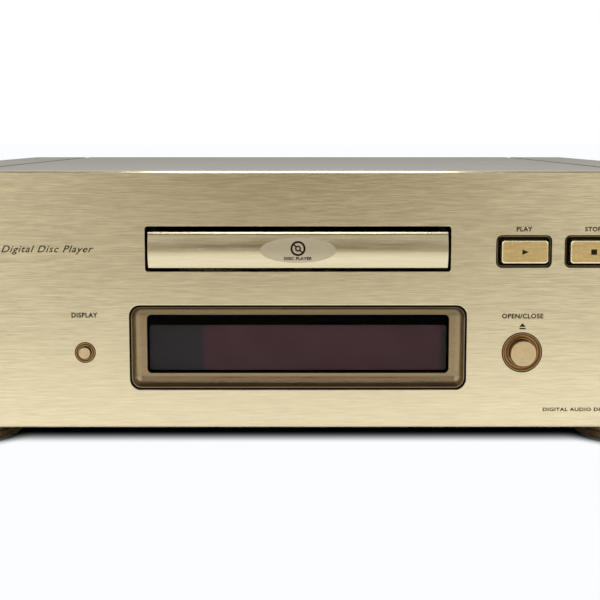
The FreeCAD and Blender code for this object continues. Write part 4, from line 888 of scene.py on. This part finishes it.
def turned_group():
    """Fine rings left by a lathe, round an axis through a centre."""
    tree, given, out = new_group(
        "lathe_rings",
        [("Centre", "NodeSocketVector", (0, 0, 0)), ("Across", "NodeSocketVector", (1, 0, 1)),
         ("Fineness", "NodeSocketFloat", 6000.0)],
        [("Rings", "NodeSocketFloat")])
    away = vector_node(tree, "SUBTRACT", place_on(tree), given["Centre"])[0]
    flat = vector_node(tree, "MULTIPLY", away, given["Across"])[0]
    radius = vector_node(tree, "LENGTH", flat)["Value"]
    rings = add(tree, "ShaderNodeTexNoise", {
        "W": times(tree, radius, given["Fineness"]), "Scale": 1.0, "Detail": 3.0},
        noise_dimensions="1D")
    give(tree, out, {"Rings": rings.outputs[0]})
    return tree


lathe_rings = turned_group()


def turned_metal(name, colour, centre, across=(1, 0, 1), rough=0.28, contrast=0.06, depth=0.00001):
    """Turned and anodised aluminium."""
    material, tree, shader = new_material(name)
    rings = use_group(tree, lathe_rings, {"Centre": centre, "Across": across})["Rings"]
    both = mixed(tree, rings, noise(tree, 420.0, 4.0))
    give(tree, shader, {
        "Base Color": two_tones(tree, both, colour, contrast),
        "Roughness": spread(tree, both, rough - 0.05, rough + 0.05, 0.35, 0.65),
        "Normal": relief(tree, rings, depth), "Metallic": 1.0})
    return material


def quarter(radius, height, size, count=5):
    """The points of a rounded outer rim that ends at (radius, height - size)."""
    return [(radius - size + size * math.cos(a), height - size + size * math.sin(a))
            for a in (math.pi / 2 * n / count for n in range(count, -1, -1))]


def build_button(name, hole, line, cap, dish):
    """One button and its ring, with a black line round the ring."""
    c = middle_of(name)
    low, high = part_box(name)
    centre = Vector((c.x, face, c.z))
    depth = panel_high.y - face
    flange_at = 0.8 * mm - depth
    profile = quarter(cap, face - low.y, button_rim) + [
        (cap, flange_at), (cap + flange, flange_at), (cap + flange, flange_at - mm),
        (stem_radius, flange_at - mm), (stem_radius, face - high.y)]
    button = turned(name + "_cap", centre, profile, (0, -1, 0))
    fit(button, name, turned_metal(
        name + "_metal", (0.63, 0.51, 0.32), c, rough=0.32, contrast=0.09))
    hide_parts(name)

    bore, ring_outer, pocket = cap + cap_gap, hole - line, cap + flange + 0.3 * mm
    dish_from, dish_to = bore + ring_lip, ring_outer - ring_lip
    mid, half = (dish_from + dish_to) / 2, (dish_to - dish_from) / 2
    arc = [(mid - half * math.cos(a), -dish * math.sin(a))
           for a in (math.pi * n / 16 for n in range(17))]
    profile = [(bore, mm - depth), (bore, 0), *arc, (ring_outer, 0), (ring_outer, -depth),
               (pocket, -depth), (pocket, mm - depth), (bore, mm - depth)]
    ring = turned(name + "_ring", centre, profile, (0, -1, 0), closed=True)
    fit(ring, "case", turned_metal(
        name + "_ring_metal", (0.42, 0.285, 0.155), c, rough=0.22, contrast=0.05))
    profile = [(ring_outer, -2 * mm), (ring_outer, -seal_depth), (hole, -seal_depth),
               (hole, -2 * mm), (ring_outer, -2 * mm)]
    seal = turned(name + "_seal", centre, profile, (0, -1, 0), closed=True)
    fit(seal, "case", frame_black)
    return ring


large_rings = [build_button(b, large_hole, 0.45 * mm, 5.9 * mm, 1.8 * mm) for b in large_buttons]
small_rings = [build_button(b, small_hole, 0.35 * mm, 2.6 * mm, 1.3 * mm) for b in small_buttons]
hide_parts("large_button_rings")
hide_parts("small_button_rings")

# ------------------------------------------------------------------ covers
# Steel covers in three pieces, painted a warm grey with a fine satin texture: a raised centre
# plate with a lowered ledge along each side, and two side covers folded over a round shoulder.
plate_thickness = 2.0 * mm
ledge_drop = 3.1 * mm
ledge_thickness = 1.6 * mm
shoulder = 20 * mm
wall = 3.0 * mm
cover_paint = coated("cover_paint", (0.165, 0.158, 0.142), 0.42, 2600.0, 0.00004, 0.25)

cover_low, cover_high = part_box("top_cover")
right_low, right_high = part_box("side_cover_right")
seam = 4.0 * mm
plate_x = right_low.x - seam
rear_y = right_high.y
top = cover_high.z
ledge_under = top - ledge_drop - ledge_thickness
cover = block("centre_cover", (-plate_x, cover_low.y, top - plate_thickness),
              (plate_x, cover_high.y, top))
parts = [block("lip", (-plate_x, rear_y, cover_low.z), (plate_x, cover_high.y, top - mm))]
for side in (-1, 1):
    inner = side * (plate_x - plate_thickness)
    for name, outer, height in (("riser", plate_x, top - mm),
                                ("ledge", cover_high.x, top - ledge_drop)):
        x0, x1 = sorted((side * outer, inner))
        parts.append(block(name, (x0, cover_low.y, ledge_under), (x1, rear_y, height)))
combine(cover, "UNION", *parts)
ease(cover, 0.35 * mm, 3)
fit(cover, "case", cover_paint)
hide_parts("top_cover")

skin_front = panel_high.y + 1.6 * mm
screw_ys = [skin_front + (rear_y - skin_front) * (n + 0.5) / 3 for n in range(3)]
screw_z = right_low.z + 9 * mm
for side, node in ((1, "side_cover_right"), (-1, "side_cover_left")):
    shell = block("side_shell", right_low, right_high)
    bevel_edges(shell, shoulder, 20, lambda e: along(1)(e) and all(
        v.co.x > right_high.x - mm and v.co.z > right_high.z - mm for v in e.verts))
    hollow = block("cutter", (right_low.x - mm, right_low.y - mm, right_low.z - mm),
                   (right_high.x - wall, right_high.y + mm, right_high.z - wall))
    bevel_edges(hollow, shoulder - wall, 20, lambda e: along(1)(e) and all(
        v.co.x > right_high.x - wall - mm and v.co.z > right_high.z - wall - mm for v in e.verts))
    cut(shell, hollow)
    cut(shell, *[barrel("cutter", (y, screw_z), 3.1 * mm, right_high.x - 1.75 * mm,
                        right_high.x + mm, "x", 40) for y in screw_ys])
    ease(shell, 0.35 * mm, 3)
    if side < 0:
        shell.data.transform(Matrix.Diagonal((-1, 1, 1, 1)))
        shell.data.flip_normals()
    shell.name = shell.data.name = "shell_" + ("right" if side > 0 else "left")
    fit(shell, "case", cover_paint)
    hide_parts(node)

# ------------------------------------------------------------------ feet
# Turned feet, anodised bronze, with a waist, a groove round the rim and a rubber pad below.
pad_radius = 25 * mm
pad_edge = 0.5 * mm
groove = 0.8 * mm
pad_rubber = coated("pad_rubber", (0.012, 0.012, 0.012), 0.75, 1800.0, 0.00008, 0.0)
pad_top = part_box("foot_pads")[1].z
for name in ("foot_front_left", "foot_front_right", "foot_rear_left", "foot_rear_right"):
    c = middle_of(name)
    low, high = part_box(name)
    rim = (high.x - low.x) / 2
    shoulder_z = high.z - 2.2 * mm
    mid = (low.z + shoulder_z - 2 * mm) / 2
    profile = [(25 * mm, high.z), (25 * mm, shoulder_z), *quarter(rim, shoulder_z, 2 * mm, 6),
               (rim, mid + 0.6 * mm), (rim - groove, mid + 0.35 * mm),
               (rim - groove, mid - 0.35 * mm), (rim, mid - 0.6 * mm), (rim, low.z + groove),
               (rim - groove, low.z), (25.2 * mm, low.z), (25.2 * mm, pad_top),
               (4.6 * mm, pad_top), (4.6 * mm, pad_top + 2.6 * mm)]
    foot = turned(name + "_turned", (c.x, c.y, 0), profile, (0, 0, 1))
    fit(foot, "case", turned_metal(
        name + "_metal", (0.34, 0.25, 0.15), c, (1, 1, 0), 0.3, 0.07, 0.00002))
    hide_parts(name)
    profile = [(pad_radius, pad_edge), (pad_radius, pad_top), (9 * mm, pad_top), (9 * mm, pad_edge),
               (9.5 * mm, 0), (pad_radius - pad_edge, 0), (pad_radius, pad_edge)]
    pad = turned(name + "_pad", (c.x, c.y, 0), profile, (0, 0, 1), closed=True, sides=96)
    fit(pad, "case", pad_rubber)
    if name == "foot_front_left":
        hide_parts("foot_pads")

# ------------------------------------------------------------------ disc drawer
# The moulded drawer: a stepped seat for large and small discs, finger notches, an open slot for
# the turntable behind, and a rack under its left side.
tray_plastic = coated("tray_plastic", (0.030, 0.030, 0.032), 0.42, 1900.0, 0.00004, 0.10)


def finish_node(name, material):
    """Gives a CAD node's own mesh a finish."""
    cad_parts[name].data.materials[0] = material


finish_node("disc_tray", tray_plastic)

# ------------------------------------------------------------------ rear panel and sockets
# A black painted steel sheet. The phono jacks have gold barrels and coloured insulators, and
# the legends are printed in pale ink.
rear_paint = coated("rear_paint", (0.012, 0.012, 0.013), 0.4, 2400.0, 0.00004, 0.1)
inlet_plastic = coated("inlet_plastic", (0.010, 0.010, 0.010), 0.45, 1600.0, 0.00004, 0.05)
jack_gold = turned_metal("jack_gold", (0.95, 0.70, 0.28), (0, 0, 0), rough=0.18, contrast=0.04)
legend_ink = coated("legend_ink", (0.72, 0.71, 0.66), 0.6, 3000.0, 0.00001, 0.0)
jack_low, jack_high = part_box("phono_jacks")
jack_z = (jack_low.z + jack_high.z) / 2
collar = 6.4 * mm
jack_xs = (jack_high.x - collar, jack_high.x - collar - 20 * mm, jack_low.x + collar)
barrel_radius, core_radius, bore_radius = 4.15 * mm, 3.2 * mm, 1.65 * mm
barrel_end = jack_high.y - rear_y
core_end = barrel_end - 0.7 * mm
for name, x, colour in zip(("left", "right", "digital"), jack_xs, (
        (0.75, 0.74, 0.70), (0.45, 0.02, 0.02), (0.65, 0.20, 0.02))):
    centre = (x, rear_y, jack_z)
    profile = [(core_radius, 0), (collar, 0), (collar, 1.4 * mm), (collar - 0.5 * mm, 2 * mm),
               (barrel_radius, 2 * mm), (barrel_radius, barrel_end - 0.4 * mm),
               (barrel_radius - 0.4 * mm, barrel_end), (core_radius, barrel_end),
               (core_radius, 0)]
    jack = turned("jack_" + name, centre, profile, (0, 1, 0), closed=True, sides=64)
    fit(jack, "case", jack_gold)
    if name == "left":
        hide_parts("phono_jacks")
    profile = [(core_radius, -12 * mm), (core_radius, core_end), (bore_radius, core_end),
               (bore_radius, barrel_end - 8.5 * mm)]
    insulator = turned("insulator_" + name, centre, profile, (0, 1, 0), sides=48)
    fit(insulator, "case",
        coated("insulator_" + name, colour, 0.35, 900.0, 0.00001, 0.0))

finish_node("rear_panel", rear_paint)
finish_node("mains_inlet", inlet_plastic)
finish_node("optical_output", inlet_plastic)
inlet = middle_of("mains_inlet")
optical = middle_of("optical_output")
for name, words, x, z, width in (
        ("line_legend", "LINE OUT", (jack_xs[0] + jack_xs[1]) / 2, jack_z + 13 * mm, 15.0),
        ("left_legend", "L", jack_xs[0], jack_z - 10 * mm, 1.6),
        ("right_legend", "R", jack_xs[1], jack_z - 10 * mm, 1.8),
        ("digital_legend", "DIGITAL OUT", (jack_xs[2] + optical.x) / 2, jack_z + 13 * mm, 20.0),
        ("coaxial_legend", "COAXIAL", jack_xs[2], jack_z - 10 * mm, 12.0),
        ("optical_legend", "OPTICAL", optical.x, jack_z - 10 * mm, 12.0),
        ("mains_legend", "AC IN", inlet.x, inlet.z + 19 * mm, 9.0)):
    legend = lettering(name, words, (x, z), width * mm, 2.4 * mm, rear_y, facing=1)
    legend.data.materials[0] = legend_ink

# ------------------------------------------------------------------ inside pieces
# What the case holds: plated steel, boards, the loader, its gears and belt, the pickup unit,
# transformers and capacitors. Their shapes are the CAD's own.


def lens_material():
    """Coated glass with a violet bloom."""
    material, tree, shader = new_material("coated_lens")
    rings = use_group(tree, lathe_rings, {
        "Centre": middle_of("objective_lens"), "Across": (1, 1, 0), "Fineness": 900.0})["Rings"]
    give(tree, shader, {
        "Base Color": between(tree, rings, (0.25, 0.30, 0.55), (0.45, 0.40, 0.70)),
        "Roughness": spread(tree, rings, 0.03, 0.08)})
    return material


# Name, colour, roughness, grain, depth, dust, metallic, and the nodes that have the finish.
for name, colour, rough, scale, depth, dust, metallic, nodes in (
        ("plated_steel", (0.52, 0.51, 0.47), 0.34, 260.0, 0.00001, 0.05, 1.0,
         ("inner_front_frame", "base_chassis", "mechanism_stand", "clamp_bridge")),
        ("screw_steel", (0.08, 0.075, 0.07), 0.35, 900.0, 0.00001, 0.0, 1.0,
         ("case_screws", "foot_screws")),
        ("board_green", (0.012, 0.10, 0.035), 0.35, 500.0, 0.00003, 0.1, 0.0,
         ("front_board", "main_board")),
        ("switch_black", (0.015, 0.015, 0.016), 0.5, 1800.0, 0.00002, 0.0, 0.0, ("key_switches",)),
        ("loader_black", (0.020, 0.020, 0.021), 0.5, 1500.0, 0.00004, 0.1, 0.0,
         ("loader_chassis",)),
        ("gear_white", (0.78, 0.77, 0.70), 0.38, 1200.0, 0.00002, 0.0, 0.0,
         ("tray_drive_gear", "pulley_gear", "motor_pulley", "lift_cam")),
        ("belt_rubber", (0.015, 0.015, 0.015), 0.7, 2500.0, 0.00003, 0.0, 0.0, ("loading_belt",)),
        ("deck_steel", (0.035, 0.035, 0.038), 0.4, 1500.0, 0.00003, 0.1, 0.0, ("pickup_deck",)),
        ("turntable_black", (0.025, 0.025, 0.026), 0.4, 1500.0, 0.00002, 0.0, 0.0,
         ("turntable", "disc_clamp")),
        ("sled_zinc", (0.42, 0.42, 0.43), 0.45, 700.0, 0.00004, 0.0, 1.0, ("laser_sled",)),
        ("can_sleeve", (0.02, 0.035, 0.10), 0.3, 700.0, 0.00001, 0.1, 0.0, ("capacitor_cans",))):
    material = coated(name, colour, rough, scale, depth, dust, metallic)
    for node in nodes:
        finish_node(node, material)
# Name, colour, lines, roughness, contrast, depth, and the nodes that have the finish.
for name, colour, scale, rough, contrast, depth, nodes in (
        ("motor_steel", (0.60, 0.59, 0.56), (900, 900, 60), 0.3, 0.05, 0.00001,
         ("loading_motor", "spindle_motor", "sled_motor")),
        ("rod_steel", (0.80, 0.80, 0.79), (2500, 40, 2500), 0.12, 0.05, 0.00001,
         ("guide_rod", "leadscrew")),
        ("core_laminations", (0.20, 0.15, 0.10), (40, 40, 2200), 0.4, 0.35, 0.0001,
         ("digital_transformer", "audio_transformer"))):
    material = brushed_metal(name, colour, scale, rough, contrast, depth)
    for node in nodes:
        finish_node(node, material)
finish_node("objective_lens", lens_material())
finish_node("board_spacers", turned_metal(
    "spacer_brass", (0.75, 0.56, 0.26), (0, 0, 0), (1, 1, 0)))

# ------------------------------------------------------------------ studio
# A pale table top that runs far back, and soft light from above and from both sides. Between the
# side lights the room is dim, so the middle of the brushed panel is darker than its ends. The
# table's colour is painted lighter under the table light and darker far in front, a painted pool
# of light. Seen from the camera the table glows white, with a painted soft shadow under the case.
painted_shadow_half = (0.158, 0.141, 1.0)
painted_shadow_fade = 29 * mm
table_light_from = (-0.75, -0.26)
deselect()
bpy.ops.mesh.primitive_plane_add(size=40, location=(0, 0, 0))
table = made("table")
table_white, tree, shader = new_material("table_white")
place = place_on(tree)
# Painted light: the table's colour is brighter under the table light and darker far in front.
painted_light_pool = math_node(tree, "ADD", rise(tree, part_of(tree, place, "Y"), *table_light_from),
                 times(tree, noise(tree, 3.0, at=place), 0.02))
give(tree, shader, {
    "Base Color": between(tree, painted_light_pool, (0.50, 0.46, 0.38), (0.77, 0.745, 0.705)),
    "Roughness": 0.9, "Specular IOR Level": 0.1})
# Painted shadow: seen from the camera, the table's glow fades away in a soft box under the case.
under = vector_node(tree, "ABSOLUTE", place)[0]
beyond = vector_node(tree, "SUBTRACT", under, painted_shadow_half)[0]
away = vector_node(tree, "LENGTH", vector_node(tree, "MAXIMUM", beyond)[0])["Value"]
painted_shadow_mask = spread(tree, away, 0.0, 1.0, 0.0, painted_shadow_fade, "SMOOTHSTEP")
# Painted shade: the glow dims close to the feet, by ambient occlusion.
painted_contact_shade = add(tree, "ShaderNodeAmbientOcclusion", {"Distance": 0.012}, samples=16).outputs["AO"]
glow_with_painted_shadow = times(tree, times(tree, painted_shadow_mask, painted_shadow_mask), spread(tree, painted_contact_shade, 0.1, 1.0, 0.45, 0.9))
far_glow = add(tree, "ShaderNodeEmission", {"Color": (0.97, 0.98, 1.0, 1), "Strength": glow_with_painted_shadow})
seen = add(tree, "ShaderNodeLightPath").outputs["Is Camera Ray"]
either = add(tree, "ShaderNodeMixShader", {0: seen, 1: shader.outputs[0], 2: far_glow.outputs[0]})
give(tree, tree.nodes["Material Output"], {"Surface": either.outputs[0]})
table.data.materials.append(table_white)

world = bpy.data.worlds.new("studio")
bpy.context.scene.world = world
world.use_nodes = True
tree = world.node_tree
way = add(tree, "ShaderNodeTexCoord").outputs["Generated"]
up, ahead = part_of(tree, way, "Z"), part_of(tree, way, "Y")
sideways = math_node(tree, "ABSOLUTE", part_of(tree, way, "X"))
light = (0.155, 0.11, 0.05)
for direction, start, end, colour in (
        (up, 0.25, 0.8, (0.42, 0.36, 0.255)), (sideways, 0.01, 0.37, (1.22, 1.17, 1.06)),
        (up, 0.8, 0.95, (0.20, 0.20, 0.20)), (ahead, -0.1, 0.4, (0.68, 0.66, 0.61))):
    step = spread(tree, direction, 0.0, 1.0, start, end, "SMOOTHSTEP")
    light = between(tree, step, light, colour)
seen = add(tree, "ShaderNodeLightPath").outputs["Is Camera Ray"]
give(tree, tree.nodes["Background"], {"Color": between(tree, seen, light, (1.0, 1.0, 1.0))})


def softbox(name, place, aim, size, power):
    """A large square light aimed at a point."""
    bpy.ops.object.light_add(type="AREA", location=place)
    light = bpy.context.object
    light.name = name
    light.data.shape = "SQUARE"
    light.data.size = size
    light.data.energy = power
    light.rotation_euler = (Vector(aim) - Vector(place)).to_track_quat("-Z", "Y").to_euler()
    return light


table_light = softbox("table_light", (0, -0.34, 0.8), (0, -0.34, 0), 0.4, 5.6)
table_light.visible_glossy = False
table_light.data.color = (0.95, 0.98, 1.0)
edge_light = softbox("edge_light", (0, -0.22, 0.9), (0, -0.22, 0), 0.3, 1.5)
edge_light.visible_diffuse = False

scene = bpy.context.scene
scene.view_settings.view_transform = "Standard"
